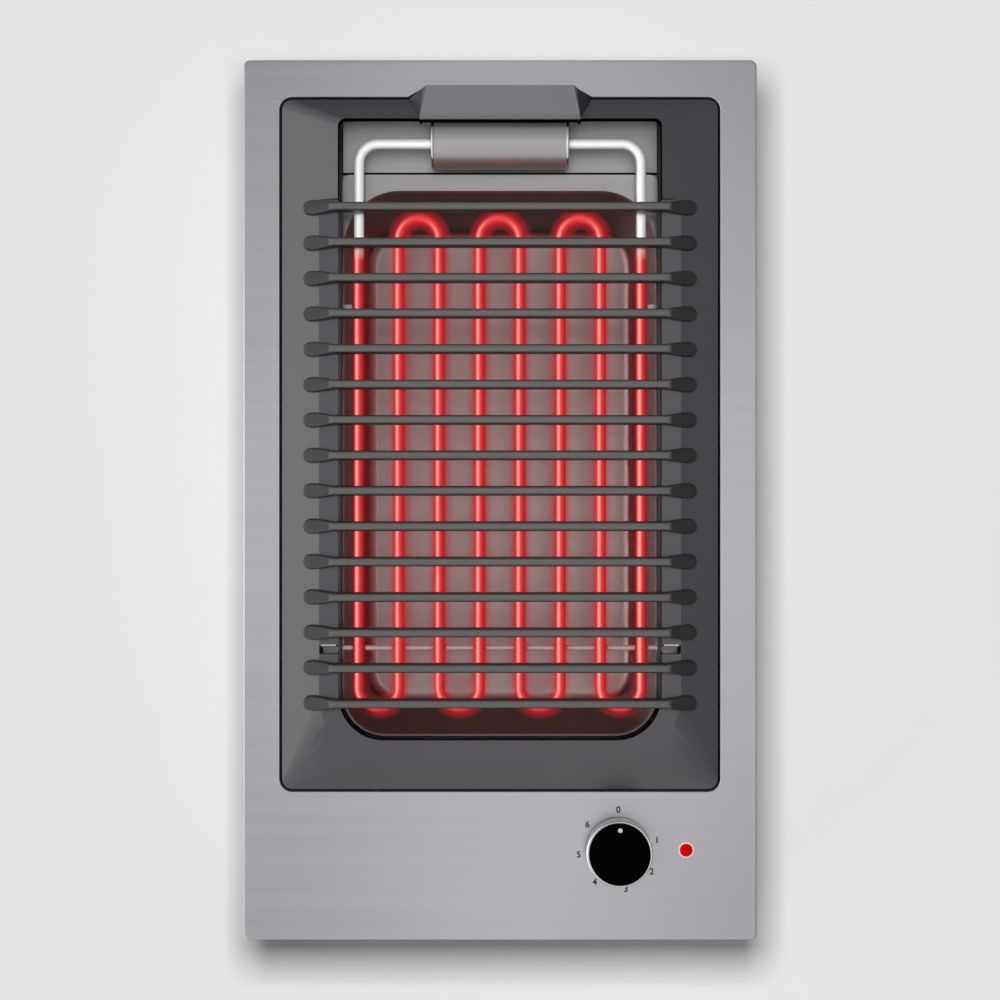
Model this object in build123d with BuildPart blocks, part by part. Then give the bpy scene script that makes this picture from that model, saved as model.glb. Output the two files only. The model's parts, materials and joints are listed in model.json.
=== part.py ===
from build123d import *
from math import radians, tan
import os

# Electric grill built into a worktop, in millimetres. X runs to the right, Y to the back and Z up.
# The origin is under the middle of the casing, and depths are measured down from the top plate.

# Top plate and the worktop cut-out that it covers
plate_width = 300.0
plate_length = 514.0
side_cover = 15.0
end_cover = 12.0
body_height = 100.0
plate_sheet = 1.0
plate_corner = 4.0
plate_rim = 5.0
plate_edge_round = 0.9

# Seal on the worktop
seal_side_land = 3.0
seal_end_land = 1.5
seal_edge_gap = 2.0
seal_proud = 0.5

# Grill opening in the enamelled frame
front_margin = 117.5
side_margin = 22.7
aperture_front_corner = 26.1
aperture_rear_corner = 4.7
side_ledge = 11.2
front_ledge = 11.4
ledge_rise = 7.0
ledge_corner = 37.5
side_slope = 22.3
front_slope = 18.0
rear_slope = 13.2
rear_margin = 23.0
step_shift = 4.9
frame_corner = 6.0
frame_drop = 0.5
frame_gap = 1.4
frame_sheet = 1.5
lip_wall = 1.2
lip_base = 1.0
gasket_sheet = 1.4
carrier_side_lap = 1.5
carrier_end_lap = 1.0

# Hood over the hinge
hood_width = 93.4
hood_spread = 106.8
hood_crest = 85.2
hood_front_gap = 0.6
hood_back_lap = 5.4
hood_front_rise = 11.0
hood_rise = 13.5
hood_wall = 1.2
hood_reach = 8.0
shoulder_share = 1.6
crest_share = 0.6
rear_share = 0.3

# Heating element
tube_radius = 3.0
run_count = 8
run_side_gap = 11.16
leg_bend = 11.3
element_depth = 4.0
element_front_gap = 17.9
element_rear_gap = 56.1
cold_end_inset = 3.5

# Element hinge
hinge_setback = 12.2
barrel_radius = 15.0
barrel_length = 80.0
barrel_wall = 1.2
cap_wall = 1.5
hub_radius = 6.0
hub_bore = 4.2
hub_end_gap = 8.0
bush_width = 8.0
bush_inset = 4.0
bush_sleeve = 4.5
bush_flange = 6.5
bush_flange_height = 1.5
bush_proud = 1.0
bead_length_x = 3.0
bead_radius = 4.4
pin_radius = 0.9
terminal_bore = 0.4
pin_reach = 7.9
lead_gap = 0.3
hub_turn = 3.0
post_width = 9.0
post_depth = 8.0
post_head = 9.0
post_foot_width = 34.0
post_foot_length = 22.0
post_foot_sheet = 2.0
foot_screw_side = 5.0
foot_screw_end = 4.0
lead_hole = 2.9
swing_gap = 0.7
shelf_gap = 2.0
shelf_front_gap = 8.5
shelf_sheet = 0.8
shelf_lip = 6.0
shelf_side_gap = 0.6
fit_gap = 0.05

# Supports under the element
rod_radius = 1.5
rod_reach = 10.2
rod_setback = 34.65
notch_front = 2.6
notch_rear = 3.2
notch_end_gap = 0.9
notch_corner = 1.2
notch_overlap = 4.0
cradle_sheet = 1.1
cradle_front_gap = 0.8
cradle_rear_gap = 0.5
cradle_inner_gap = 1.6
cradle_flange = 5.5
cradle_lip_gap = 0.3
strip_end_gap = 1.0
strip_width = 3.0
strip_sheet = 1.5
strip_setback = 98.2
hook_length = 5.9
hook_width = 2.9
clip_wall = 0.7
clip_width = 3.0

# Drip tray
tray_gap = 0.9
tray_front_gap = 0.4
tray_edge = 0.8
tray_depth = 11.0
tray_floor_depth = 63.0
tray_sheet = 0.8
tray_rear_rim = 9.5
tray_hinge_gap = 1.7
tray_side_draft = 11.5
tray_front_draft = 14.4
tray_rear_draft = 18.6
tray_rear_corner = 33.0
tray_floor_corner = 20.0
tray_fillet = 7.0

# Grill grid
bar_count = 15
bar_rear_gap = 51.2
bar_front_gap = 21.65
bar_top_width = 4.4
bar_side_angle = 5.0
grid_rise = 15.0
ridge_reach = 3.6
bar_reach = 20.3
nose_height = 3.4
nose_radius = 4.3
nose_length = 15.5
slope_gap = 0.3
rail_width = 1.6
rail_height = 7.0
rail_gap = 0.3
rail_bite = 1.0

# Liner, insulation and shield
liner_half_gap = 16.3
liner_front_gap = 18.6
liner_rear_gap = 5.8
liner_sheet = 0.8
liner_corner = 6.0
bead_height = 2.2
bead_width = 8.0
bead_spacing = 80.0
bead_end_gap = 58.8
bead_shift = 20.0
wool_thickness = 12.0
wool_side = 7.5
wool_gap = 0.3
wool_top_depth = 24.0
shield_sheet = 0.8
shield_flange_depth = 20.0
shield_end_gap = 5.0

# Casing
clamp_room = 9.0
casing_end_gap = 1.5
casing_sheet = 0.8
casing_corner = 3.0
base_sheet = 1.0
base_flange = 12.0
vent_count = 9
vent_pitch = 10.0
vent_length = 46.0
vent_width = 4.0
divider_sheet = 0.8
divider_gap = 3.0
divider_depth = 12.0
vent_side = 40.0
base_screw_length = 8.0
screw_sink_depth = 1.6

# Fasteners
stud_radius = 2.0
stud_length = 9.0
nut_radius = 3.5
nut_height = 3.2
hole_gap = 0.2
stud_shares = (-0.44, -0.16, 0.12, 0.4)
screw_radius = 1.5
head_radius = 3.0
head_height = 1.6

# Knob and regulator
knob_side_margin = 80.9
knob_setback = 35.5
knob_height = 18.0
knob_radius = 17.7
ring_radius = 19.15
ring_wall = 1.4
ring_height = 13.7
knob_gap = 1.5
knob_round = 1.6
knob_wall = 2.0
hub_wall = 2.6
pointer_radius = 1.3
pointer_reach = 14.4
pointer_sink = 0.6
shaft_radius = 3.0
shaft_flat = 1.0
shaft_rise = 14.0
clip_ring_height = 5.0
clip_ring_wall = 0.6
clip_ring_gap = 2.0
regulator_width = 36.0
regulator_length = 44.0
regulator_height = 32.0
regulator_edge = 1.5
regulator_screw_spacing = 22.0
shaft_hole = 6.0
shaft_socket = 20.0
regulator_screw_bite = 6.0

# Pilot lamp
lamp_spacing = 39.6
lens_radius = 3.75
lens_rise = 1.6
lens_dome = 9.2
bezel_radius = 4.9
bezel_rise = 0.8
holder_radius = 4.4
holder_length = 24.0
lens_seat = 3.0
lamp_clip_width = 2.5

# Supply connection
inlet_margin = 14.2
inlet_width = 60.0
inlet_reach = 28.0
inlet_height = 18.4
inlet_sheet = 1.0
gland_radius = 7.4
gland_bore = 4.3
gland_reach = 14.0
gland_inside = 7.0
gland_thread = 5.8
gland_nut_width = 14.0
gland_nut_height = 4.0
block_width = 44.0
block_length = 22.0
block_height = 14.0
block_setback = 16.0
lead_radius = 1.3
pair_gap = 0.3
lead_detour = 20.0
lead_spread = 8.0
lead_cross_gap = 10.0
lamp_lead_drop = 7.0
lamp_lead_bend = 5.0
lamp_lead_gap = 4.0
lead_bend = 8.0
lead_height = 14.0
earth_side = 30.0
earth_gap = 18.0
low_bend = 5.0

# Worktop clamps
clamp_setout = 5.0
clamp_reach = 44.0
clamp_round = 1.2
clamp_screw_tip = 1.5
clamp_half_width = 3.4
clamp_thickness = 6.0
clamp_pad = 4.0
clamp_depth = 50.0
clamp_end_inset = 60.0
lug_sheet = 1.5
lug_gap = 0.6
lug_length = 12.0
bracket_sheet = 1.0
bracket_height = 30.0
clamp_screw_radius = 2.5
clamp_screw_head = 4.0

os.makedirs("parts", exist_ok=True)

# Places that follow from the sizes above
top = body_height
cutout_width = plate_width - 2 * side_cover
cutout_length = plate_length - 2 * end_cover
casing_half = cutout_width / 2 - clamp_room
casing_end = cutout_length / 2 - casing_end_gap
carrier_half = cutout_width / 2 + carrier_side_lap
carrier_end = cutout_length / 2 + carrier_end_lap
frame_half = plate_width / 2 - side_margin
ledge_half = frame_half - side_slope
aperture_half = ledge_half - side_ledge
frame_rear = plate_length / 2 - rear_margin
aperture_rear = frame_rear - rear_slope
aperture_front = front_margin - plate_length / 2
ledge_front = aperture_front - front_ledge
frame_front = ledge_front - front_slope
slope_rise = (ledge_rise + frame_drop) / side_slope
rim_rise = slope_rise * (frame_half - aperture_half) - frame_drop
ledge_rear = frame_rear - rear_slope * (ledge_rise + frame_drop) / (rim_rise + frame_drop)
first_bar = aperture_rear - bar_rear_gap
last_bar = aperture_front + bar_front_gap
bar_pitch = (first_bar - last_bar) / (bar_count - 1)
half_ridge = aperture_half + ridge_reach
half_bar = aperture_half + bar_reach
bar_places = [first_bar - bar_pitch * number for number in range(bar_count)]
step_rear = first_bar + step_shift
carrier_top = top - plate_sheet - gasket_sheet
carrier_base = carrier_top - frame_sheet
casing_top = carrier_base

hinge_y = aperture_rear - hinge_setback
hinge_z = top - element_depth
outer_run = aperture_half - run_side_gap
run_spacing = 2 * outer_run / (run_count - 1)
turn_radius = run_spacing / 2
front_turn = aperture_front + element_front_gap + turn_radius
rear_turn = aperture_rear - element_rear_gap - turn_radius
cold_end = barrel_length / 2 - cold_end_inset
pin_end = cold_end - pin_reach
lead_end = pin_end - lead_gap
hub_length = barrel_length - 2 * hub_end_gap
shelf_top = hinge_z - barrel_radius - shelf_gap
shelf_front = hinge_y - barrel_radius - shelf_front_gap

rod_length = 2 * (aperture_half + rod_reach)
strip_length = 2 * (aperture_half - strip_end_gap)
rod_y = front_turn - turn_radius + rod_setback
rod_z = hinge_z - tube_radius - rod_radius - fit_gap
notch_half = rod_length / 2 + notch_end_gap
strip_y = hinge_y - strip_setback
strip_top = hinge_z - tube_radius - fit_gap

tray_half = aperture_half - tray_gap
tray_front = aperture_front + tray_front_gap
tray_rear = hinge_y - barrel_radius - tray_hinge_gap
tray_top = top - tray_depth
tray_base = top - tray_floor_depth - tray_sheet

liner_half = aperture_half + liner_half_gap
liner_front = aperture_front - liner_front_gap
liner_rear = aperture_rear + liner_rear_gap
liner_floor = tray_base - bead_height
bead_length = aperture_rear - aperture_front - 2 * bead_end_gap
liner_base = liner_floor - liner_sheet
wool_base = liner_base - wool_thickness
wool_half = liner_half + wool_gap + wool_side
shield_base = wool_base - shield_sheet
shield_half = wool_half + wool_gap + shield_sheet
casing_inner = casing_half - casing_sheet
casing_inner_end = casing_end - casing_sheet
shield_front = liner_front - shield_end_gap
shield_rear = liner_rear + shield_end_gap
divider_top = top - divider_depth
hood_front = aperture_rear - hood_front_gap
hood_back = frame_rear + hood_back_lap

knob_side = plate_width / 2 - knob_side_margin
knob_y = frame_front - knob_setback
lamp_x = knob_side + lamp_spacing
regulator_top = carrier_base
inlet_side = casing_inner - inlet_margin - inlet_width / 2 - inlet_sheet
inlet_y = casing_end - inlet_reach
gland_z = inlet_height / 2
block_y = inlet_y - block_setback - block_length / 2

earth_y = block_y - block_length / 2 - earth_gap
vent_x = -vent_side
regulator_screw_places = [knob_side + side * regulator_screw_spacing / 2 for side in (-1, 1)]
stud_x = (frame_half + frame_gap + carrier_half) / 2
stud_places = [(side * stud_x, share * cutout_length) for side in (-1, 1) for share in stud_shares]
foot_screw_x = post_foot_width / 2 - foot_screw_side
foot_screw_y = post_foot_length / 2 - foot_screw_end
foot_screw_places = [(x * foot_screw_x, hinge_y + y * foot_screw_y) for x in (-1, 1) for y in (-1, 1)]
base_screw_places = [
    (x * (casing_inner - base_flange / 2), y * (casing_inner_end - base_flange / 2))
    for x in (-1, 1)
    for y in (-1, 0, 1)
]


def panel(height, half_width, front, rear, front_corner, rear_corner):
    # A rectangle at one height, with its own radius on the front and on the rear corners
    with BuildSketch(Plane.XY.offset(height)) as outline:
        with Locations((0, (front + rear) / 2)):
            Rectangle(2 * half_width, rear - front)
        if front_corner > 0:
            fillet(outline.vertices().group_by(Axis.Y)[0], front_corner)
        if rear_corner > 0:
            fillet(outline.vertices().group_by(Axis.Y)[-1], rear_corner)
    return outline.sketch


def centred(height, half_width, half_length, corner):
    # A rectangle about the origin
    return panel(height, half_width, -half_length, half_length, corner, corner)


def crown(low, drop, inset):
    # The frame's outer form as a block: slopes up to the ledge, and up to the rim behind the grid
    step_front = step_rear + inset
    with BuildPart() as block:
        edge = panel(
            low,
            frame_half - inset,
            frame_front + inset,
            frame_rear - inset,
            frame_corner - inset,
            frame_corner - inset,
        )
        extrude(edge, amount=top - frame_drop - drop - low)
        edge_top = block.faces().sort_by(Axis.Z)[-1]
        ledge_z = top + ledge_rise - drop
        ledge = panel(ledge_z, ledge_half, ledge_front, ledge_rear, ledge_corner, frame_corner)
        loft([edge_top, ledge.face()], ruled=True)
        step = panel(ledge_z, ledge_half, step_front, ledge_rear, 0, frame_corner)
        rim = panel(top + rim_rise - drop, aperture_half, step_front, aperture_rear, 0, aperture_rear_corner)
        loft([step.face(), rim.face()], ruled=True)
    return block.part


def aperture(height, grow):
    # The grill opening's outline, grown all round
    return panel(
        height,
        aperture_half + grow,
        aperture_front - grow,
        aperture_rear + grow,
        aperture_front_corner + grow,
        aperture_rear_corner + grow,
    )


def plate_opening(height):
    # The top plate's opening: the frame's outline with its gap
    return panel(
        height,
        frame_half + frame_gap,
        frame_front - frame_gap,
        frame_rear + frame_gap,
        frame_corner + frame_gap,
        frame_corner + frame_gap,
    )


def hood_plan(height, shrink, reach):
    # The hood's outline from above, with a straight mouth that reaches towards the front
    side = hood_width / 2 - shrink
    shoulder = hood_spread / 2 - shoulder_share * shrink
    crest = hood_crest / 2 - crest_share * shrink
    with BuildSketch(Plane.XY.offset(height)) as outline:
        with BuildLine():
            Polyline(
                (-side, hood_front),
                (side, hood_front),
                (shoulder, frame_rear - rear_share * shrink),
                (crest, hood_back - shrink),
                (-crest, hood_back - shrink),
                (-shoulder, frame_rear - rear_share * shrink),
                close=True,
            )
        make_face()
        if reach > 0:
            with Locations((0, hood_front - reach / 2)):
                Rectangle(2 * side, reach)
    return outline.sketch


def hood_form(shrink, low, reach):
    # The hood as a solid block: its outline cut by the roof and by the two cheeks
    corner = Vector(hood_width / 2, hood_front, top + hood_front_rise - shrink)
    shoulder = Vector(hood_spread / 2, frame_rear, top - shrink)
    crest = Vector(hood_crest / 2, hood_back, top + hood_rise - shrink)
    roof = Vector(0, corner.Z - crest.Z, crest.Y - corner.Y)
    cheek = (crest - shoulder).cross(corner - shoulder)
    if cheek.Z < 0:
        cheek = cheek * -1
    with BuildPart() as block:
        extrude(hood_plan(low, shrink, reach), amount=top + hood_rise - low)
        split(bisect_by=Plane(origin=crest, z_dir=roof), keep=Keep.BOTTOM)
        for side in (1, -1):
            facing = Vector(side * cheek.X, cheek.Y, cheek.Z)
            start = Vector(side * crest.X, crest.Y, crest.Z)
            split(bisect_by=Plane(origin=start, z_dir=facing), keep=Keep.BOTTOM)
    return block.part


def notches(low, high):
    # The two slots in the ledge that the support rod's ends drop into
    inner_end = aperture_half - notch_overlap
    for side in (-1, 1):
        with BuildSketch(Plane.XY.offset(low)) as slot:
            with Locations((side * (notch_half + inner_end) / 2, rod_y + (notch_rear - notch_front) / 2)):
                Rectangle(notch_half - inner_end, notch_front + notch_rear)
            fillet(slot.vertices().group_by(Axis.X)[0 if side < 0 else -1], notch_corner)
        extrude(slot.sketch, amount=high - low, mode=Mode.SUBTRACT)


def stud_holes(height, depth):
    with Locations([(x, y, height) for x, y in stud_places]):
        Hole(stud_radius + hole_gap, depth)


def control_holes(height, depth):
    # The holes for the regulator's shaft and screws and for the lamp
    with Locations((knob_side, knob_y, height)):
        Hole(shaft_hole, depth)
    with Locations((lamp_x, knob_y, height)):
        Hole(holder_radius + hole_gap, depth)
    with Locations([(knob_side + side * regulator_screw_spacing / 2, knob_y, height) for side in (-1, 1)]):
        Hole(screw_radius + hole_gap, depth)


def save(piece, name):
    piece.part.label = name
    export_step(piece.part, f"parts/{name}.step")


# Top plate, pressed from sheet with its edges turned down
plate_base = top - plate_rim
with BuildPart() as top_plate:
    extrude(centred(plate_base, plate_width / 2, plate_length / 2, plate_corner), amount=plate_rim)
    fillet(top_plate.faces().sort_by(Axis.Z)[-1].edges(), plate_edge_round)
    inner_half = plate_width / 2 - plate_sheet
    inner_end = plate_length / 2 - plate_sheet
    hollow = centred(plate_base, inner_half, inner_end, plate_corner - plate_sheet)
    extrude(hollow, amount=plate_rim - plate_sheet, mode=Mode.SUBTRACT)
    extrude(plate_opening(top - plate_sheet), amount=plate_sheet, mode=Mode.SUBTRACT)
    extrude(hood_plan(top - plate_sheet, -frame_gap, 0), amount=plate_sheet, mode=Mode.SUBTRACT)
    control_holes(top, plate_sheet)
save(top_plate, "top_plate")

# Foam seal between the plate and the worktop
seal_base = plate_base - seal_proud
seal_height = plate_rim + seal_proud - plate_sheet
with BuildPart() as worktop_seal:
    outer_half = plate_width / 2 - plate_sheet - seal_edge_gap
    outer_end = plate_length / 2 - plate_sheet - seal_edge_gap
    inner_half = cutout_width / 2 + seal_side_land
    inner_end = cutout_length / 2 + seal_end_land
    extrude(centred(seal_base, outer_half, outer_end, plate_corner), amount=seal_height)
    inside = centred(seal_base, inner_half, inner_end, plate_corner)
    extrude(inside, amount=seal_height, mode=Mode.SUBTRACT)
save(worktop_seal, "worktop_seal")

# Studs welded under the plate, with the nuts that hold the frame and the casing to it
with BuildPart() as plate_studs:
    with Locations([(x, y, top - plate_sheet) for x, y in stud_places]):
        Cylinder(stud_radius, stud_length, align=(Align.CENTER, Align.CENTER, Align.MAX))
save(plate_studs, "plate_studs")

with BuildPart() as stud_nuts:
    with BuildSketch(Plane.XY.offset(casing_top - casing_sheet)):
        with Locations(stud_places):
            RegularPolygon(nut_radius, 6)
            Circle(stud_radius + fit_gap, mode=Mode.SUBTRACT)
    extrude(amount=-nut_height)
save(stud_nuts, "stud_nuts")

# Flat gasket under the plate, round the opening and the controls
with BuildPart() as frame_gasket:
    extrude(centred(carrier_top, carrier_half, carrier_end, plate_corner), amount=gasket_sheet)
    extrude(plate_opening(carrier_top), amount=gasket_sheet, mode=Mode.SUBTRACT)
    extrude(hood_plan(carrier_top, -frame_gap, 0), amount=gasket_sheet, mode=Mode.SUBTRACT)
    stud_holes(carrier_top + gasket_sheet, gasket_sheet)
    with Locations((knob_side, knob_y, carrier_top + gasket_sheet)):
        Hole(ring_radius, gasket_sheet)
    with Locations((lamp_x, knob_y, carrier_top + gasket_sheet)):
        Hole(holder_radius + hole_gap, gasket_sheet)
save(frame_gasket, "frame_gasket")

# Enamelled frame: a carrier sheet under the plate, slopes, ledge, lip and the hood over the hinge
lip_low = top + lip_base
hood_outside = hood_form(0, carrier_base, 0)
hood_inside = hood_form(hood_wall, carrier_base - hood_wall, hood_reach)
with BuildPart() as frame_lip:
    extrude(aperture(lip_low, lip_wall), amount=rim_rise - lip_base)
    add(crown(carrier_base, 0, 0), mode=Mode.INTERSECT)
with BuildPart() as pan_frame:
    extrude(centred(carrier_base, carrier_half, carrier_end, plate_corner), amount=frame_sheet)
    add(crown(carrier_base, 0, 0))
    add(crown(carrier_base, frame_sheet, frame_sheet), mode=Mode.SUBTRACT)
    add(frame_lip.part)
    extrude(aperture(carrier_base, 0), amount=top + rim_rise - carrier_base, mode=Mode.SUBTRACT)
    add(hood_outside)
    add(hood_inside, mode=Mode.SUBTRACT)
    notches(carrier_base, top + rim_rise)
    stud_holes(carrier_top, frame_sheet)
    control_holes(carrier_top, frame_sheet)
save(pan_frame, "pan_frame")

# Cradles of bent sheet under the ledge, one for each end of the support rod
with BuildPart() as rod_cradles:
    inner_end = aperture_half + lip_wall + cradle_lip_gap
    outer_end = notch_half - cradle_inner_gap / 2
    floor_z = rod_z - rod_radius - fit_gap
    front_y = rod_y - rod_radius - cradle_front_gap
    rear_y = rod_y + rod_radius + cradle_rear_gap
    ledge_under = top + ledge_rise - frame_sheet
    for side in (-1, 1):
        with BuildSketch(Plane.YZ.offset(side * (inner_end + outer_end) / 2)):
            with BuildLine():
                Polyline(
                    (front_y - cradle_sheet, floor_z - cradle_sheet),
                    (rear_y + cradle_sheet, floor_z - cradle_sheet),
                    (rear_y + cradle_sheet, ledge_under - cradle_sheet),
                    (rear_y + cradle_sheet + cradle_flange, ledge_under - cradle_sheet),
                    (rear_y + cradle_sheet + cradle_flange, ledge_under),
                    (rear_y, ledge_under),
                    (rear_y, floor_z),
                    (front_y, floor_z),
                    (front_y, floor_z + 2 * rod_radius),
                    (front_y - cradle_sheet, floor_z + 2 * rod_radius),
                    close=True,
                )
            make_face()
        extrude(amount=(outer_end - inner_end) / 2, both=True)
save(rod_cradles, "rod_cradles")

# Liner: the stainless box under the opening, which the tray stands in
with BuildPart() as liner:
    deep = top + rim_rise - liner_base
    outside = panel(liner_base, liner_half, liner_front, liner_rear, liner_corner, liner_corner)
    extrude(outside, amount=deep)
    inside = panel(
        liner_floor,
        liner_half - liner_sheet,
        liner_front + liner_sheet,
        liner_rear - liner_sheet,
        liner_corner - liner_sheet,
        liner_corner - liner_sheet,
    )
    extrude(inside, amount=deep, mode=Mode.SUBTRACT)
    with BuildSketch(Plane.XY.offset(liner_floor)):
        with Locations((0, (aperture_front + aperture_rear) / 2 - bead_shift)):
            with GridLocations(bead_spacing, 1, 2, 1):
                SlotOverall(bead_length, bead_width, rotation=90)
    extrude(amount=bead_height)
    add(crown(liner_base, frame_sheet + fit_gap, frame_sheet + fit_gap), mode=Mode.INTERSECT)
    add(hood_outside, mode=Mode.SUBTRACT)
    with Locations((0, hinge_y, liner_floor)):
        Hole(bush_sleeve + hole_gap, liner_sheet)
save(liner, "liner")

# Mineral wool round the liner, in its galvanised shield
with BuildPart() as insulation:
    with BuildSketch(Plane.XZ.offset(-liner_rear)):
        with BuildLine():
            Polyline(
                (-wool_half, wool_base),
                (wool_half, wool_base),
                (wool_half, top - wool_top_depth),
                (liner_half + wool_gap, top - wool_top_depth),
                (liner_half + wool_gap, liner_base - wool_gap),
                (-liner_half - wool_gap, liner_base - wool_gap),
                (-liner_half - wool_gap, top - wool_top_depth),
                (-wool_half, top - wool_top_depth),
                close=True,
            )
        make_face()
    extrude(amount=liner_rear - liner_front)
    with Locations((0, hinge_y, liner_base)):
        Hole(bush_sleeve + hole_gap, liner_base - wool_base)
save(insulation, "insulation")

with BuildPart() as heat_shield:
    flange_z = top - shield_flange_depth
    with BuildSketch(Plane.XZ.offset(-shield_rear)):
        with BuildLine():
            Polyline(
                (-shield_half, shield_base),
                (shield_half, shield_base),
                (shield_half, flange_z - shield_sheet),
                (casing_inner, flange_z - shield_sheet),
                (casing_inner, flange_z),
                (shield_half - shield_sheet, flange_z),
                (shield_half - shield_sheet, wool_base),
                (-shield_half + shield_sheet, wool_base),
                (-shield_half + shield_sheet, flange_z),
                (-casing_inner, flange_z),
                (-casing_inner, flange_z - shield_sheet),
                (-shield_half, flange_z - shield_sheet),
                close=True,
            )
        make_face()
    extrude(amount=shield_rear - shield_front)
    with Locations((0, hinge_y, wool_base)):
        Hole(bush_sleeve + hole_gap, shield_sheet)
save(heat_shield, "heat_shield")

# Ceramic bush that takes the element's leads through the liner, wool and shield
with BuildPart() as lead_bush:
    with Locations((0, hinge_y, liner_floor)):
        Cylinder(bush_flange, bush_flange_height, align=(Align.CENTER, Align.CENTER, Align.MIN))
        Cylinder(
            bush_sleeve,
            liner_floor - shield_base + bush_proud,
            align=(Align.CENTER, Align.CENTER, Align.MAX),
        )
    with Locations((0, hinge_y, liner_floor + bush_flange_height)):
        Hole(lead_hole + hole_gap)
save(lead_bush, "lead_bush")

# Casing: walls with a flange outwards at the top and inwards at the bottom
with BuildPart() as casing:
    flange = centred(casing_top - casing_sheet, carrier_half, carrier_end, plate_corner)
    extrude(flange, amount=casing_sheet)
    walls = centred(base_sheet, casing_half, casing_end, casing_corner)
    extrude(walls, amount=casing_top - base_sheet)
    inner_corner = casing_corner - casing_sheet
    hollow = centred(base_sheet + casing_sheet, casing_inner, casing_inner_end, inner_corner)
    extrude(hollow, amount=body_height, mode=Mode.SUBTRACT)
    hole_half = casing_inner - base_flange
    hole_end = casing_inner_end - base_flange
    extrude(centred(base_sheet, hole_half, hole_end, casing_sheet), amount=casing_sheet, mode=Mode.SUBTRACT)
    stud_holes(casing_top, casing_sheet)
    with Locations((-inlet_side, casing_end, base_sheet)):
        Box(
            inlet_width + 2 * inlet_sheet,
            2 * (base_flange + casing_sheet),
            inlet_height + inlet_sheet - base_sheet,
            align=(Align.CENTER, Align.CENTER, Align.MIN),
            mode=Mode.SUBTRACT,
        )
    with Locations([(x, y, base_sheet + casing_sheet) for x, y in base_screw_places]):
        Hole(screw_radius + fit_gap, casing_sheet)
save(casing, "casing")

# Base cover with vent slots, and its countersunk screws
sink = head_radius - screw_radius
with BuildPart() as base_cover:
    extrude(centred(0, casing_half, casing_end, casing_corner), amount=base_sheet)
    with BuildSketch():
        with Locations((vent_x, knob_y), (0, aperture_front + vent_length)):
            with GridLocations(vent_pitch, 1, vent_count, 1):
                SlotOverall(vent_length, vent_width, rotation=90)
    extrude(amount=base_sheet, mode=Mode.SUBTRACT)
    with BuildSketch():
        with Locations((-inlet_side, casing_end - inlet_reach / 2)):
            Rectangle(inlet_width, inlet_reach)
    extrude(amount=base_sheet, mode=Mode.SUBTRACT)
    with Locations([(x, y, 0) for x, y in base_screw_places]):
        Cone(
            head_radius + fit_gap,
            head_radius - sink * base_sheet / screw_sink_depth + fit_gap,
            base_sheet,
            align=(Align.CENTER, Align.CENTER, Align.MIN),
            mode=Mode.SUBTRACT,
        )
save(base_cover, "base_cover")

with BuildPart() as base_screws:
    low = (Align.CENTER, Align.CENTER, Align.MIN)
    with Locations([(x, y, 0) for x, y in base_screw_places]):
        Cone(head_radius, head_radius - sink * base_sheet / screw_sink_depth, base_sheet, align=low)
        Cylinder(screw_radius, base_screw_length, align=low)
save(base_screws, "base_screws")

# Sheet between the hot space and the controls
with BuildPart() as wiring_divider:
    with BuildSketch(Plane.YZ.offset(-casing_inner)):
        with BuildLine():
            Polyline(
                (shield_front, shield_base),
                (shield_front, shield_base + divider_sheet),
                (shield_front - divider_gap + divider_sheet, shield_base + divider_sheet),
                (shield_front - divider_gap + divider_sheet, divider_top),
                (shield_front - divider_gap, divider_top),
                (shield_front - divider_gap, shield_base),
                close=True,
            )
        make_face()
    extrude(amount=2 * casing_inner)
save(wiring_divider, "wiring_divider")

# Shelf behind the tray, and the hollow post on it that carries the hinge
with BuildPart() as hinge_shelf:
    half = aperture_half - shelf_side_gap
    back = liner_rear - liner_sheet - 2 * fit_gap
    extrude(panel(liner_floor, half, shelf_front, back, 0, 0), amount=shelf_top - liner_floor)
    shelf_under = shelf_top - shelf_sheet
    inside = panel(liner_floor, half - shelf_sheet, shelf_front + shelf_sheet, back, 0, 0)
    extrude(inside, amount=shelf_under - liner_floor, mode=Mode.SUBTRACT)
    mouth = panel(liner_floor, half - shelf_sheet, shelf_front, back, 0, 0)
    extrude(mouth, amount=shelf_top - shelf_lip - liner_floor, mode=Mode.SUBTRACT)
    with Locations((0, hinge_y, shelf_top)):
        Box(
            post_width + 2 * fit_gap,
            post_depth + 2 * fit_gap,
            shelf_sheet,
            align=(Align.CENTER, Align.CENTER, Align.MAX),
            mode=Mode.SUBTRACT,
        )
    with Locations([(x, y, shelf_top) for x, y in foot_screw_places]):
        Hole(screw_radius + fit_gap, shelf_sheet)
save(hinge_shelf, "hinge_shelf")

foot_top = shelf_top - shelf_sheet
with BuildPart() as hinge_post:
    with Locations((0, hinge_y, foot_top)):
        Box(
            post_foot_width,
            post_foot_length,
            post_foot_sheet,
            align=(Align.CENTER, Align.CENTER, Align.MAX),
        )
    with Locations((0, hinge_y, foot_top - post_foot_sheet)):
        Box(
            post_width,
            post_depth,
            hinge_z - foot_top + post_foot_sheet,
            align=(Align.CENTER, Align.CENTER, Align.MIN),
        )
    with BuildSketch(Plane.YZ.offset(-post_width / 2)):
        with Locations((hinge_y, hinge_z)):
            Circle(post_head)
    extrude(amount=post_width)
    with BuildSketch(Plane.YZ.offset(-post_width / 2)):
        with Locations((hinge_y, hinge_z)):
            Circle(hub_radius + fit_gap)
    extrude(amount=post_width, mode=Mode.SUBTRACT)
    with BuildSketch(Plane.XY.offset(foot_top - post_foot_sheet)):
        with Locations((0, hinge_y)):
            Circle(lead_hole)
    extrude(amount=hinge_z - foot_top + post_foot_sheet, mode=Mode.SUBTRACT)
    with Locations([(x, y, foot_top) for x, y in foot_screw_places]):
        Hole(screw_radius + hole_gap, post_foot_sheet)
save(hinge_post, "hinge_post")

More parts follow.
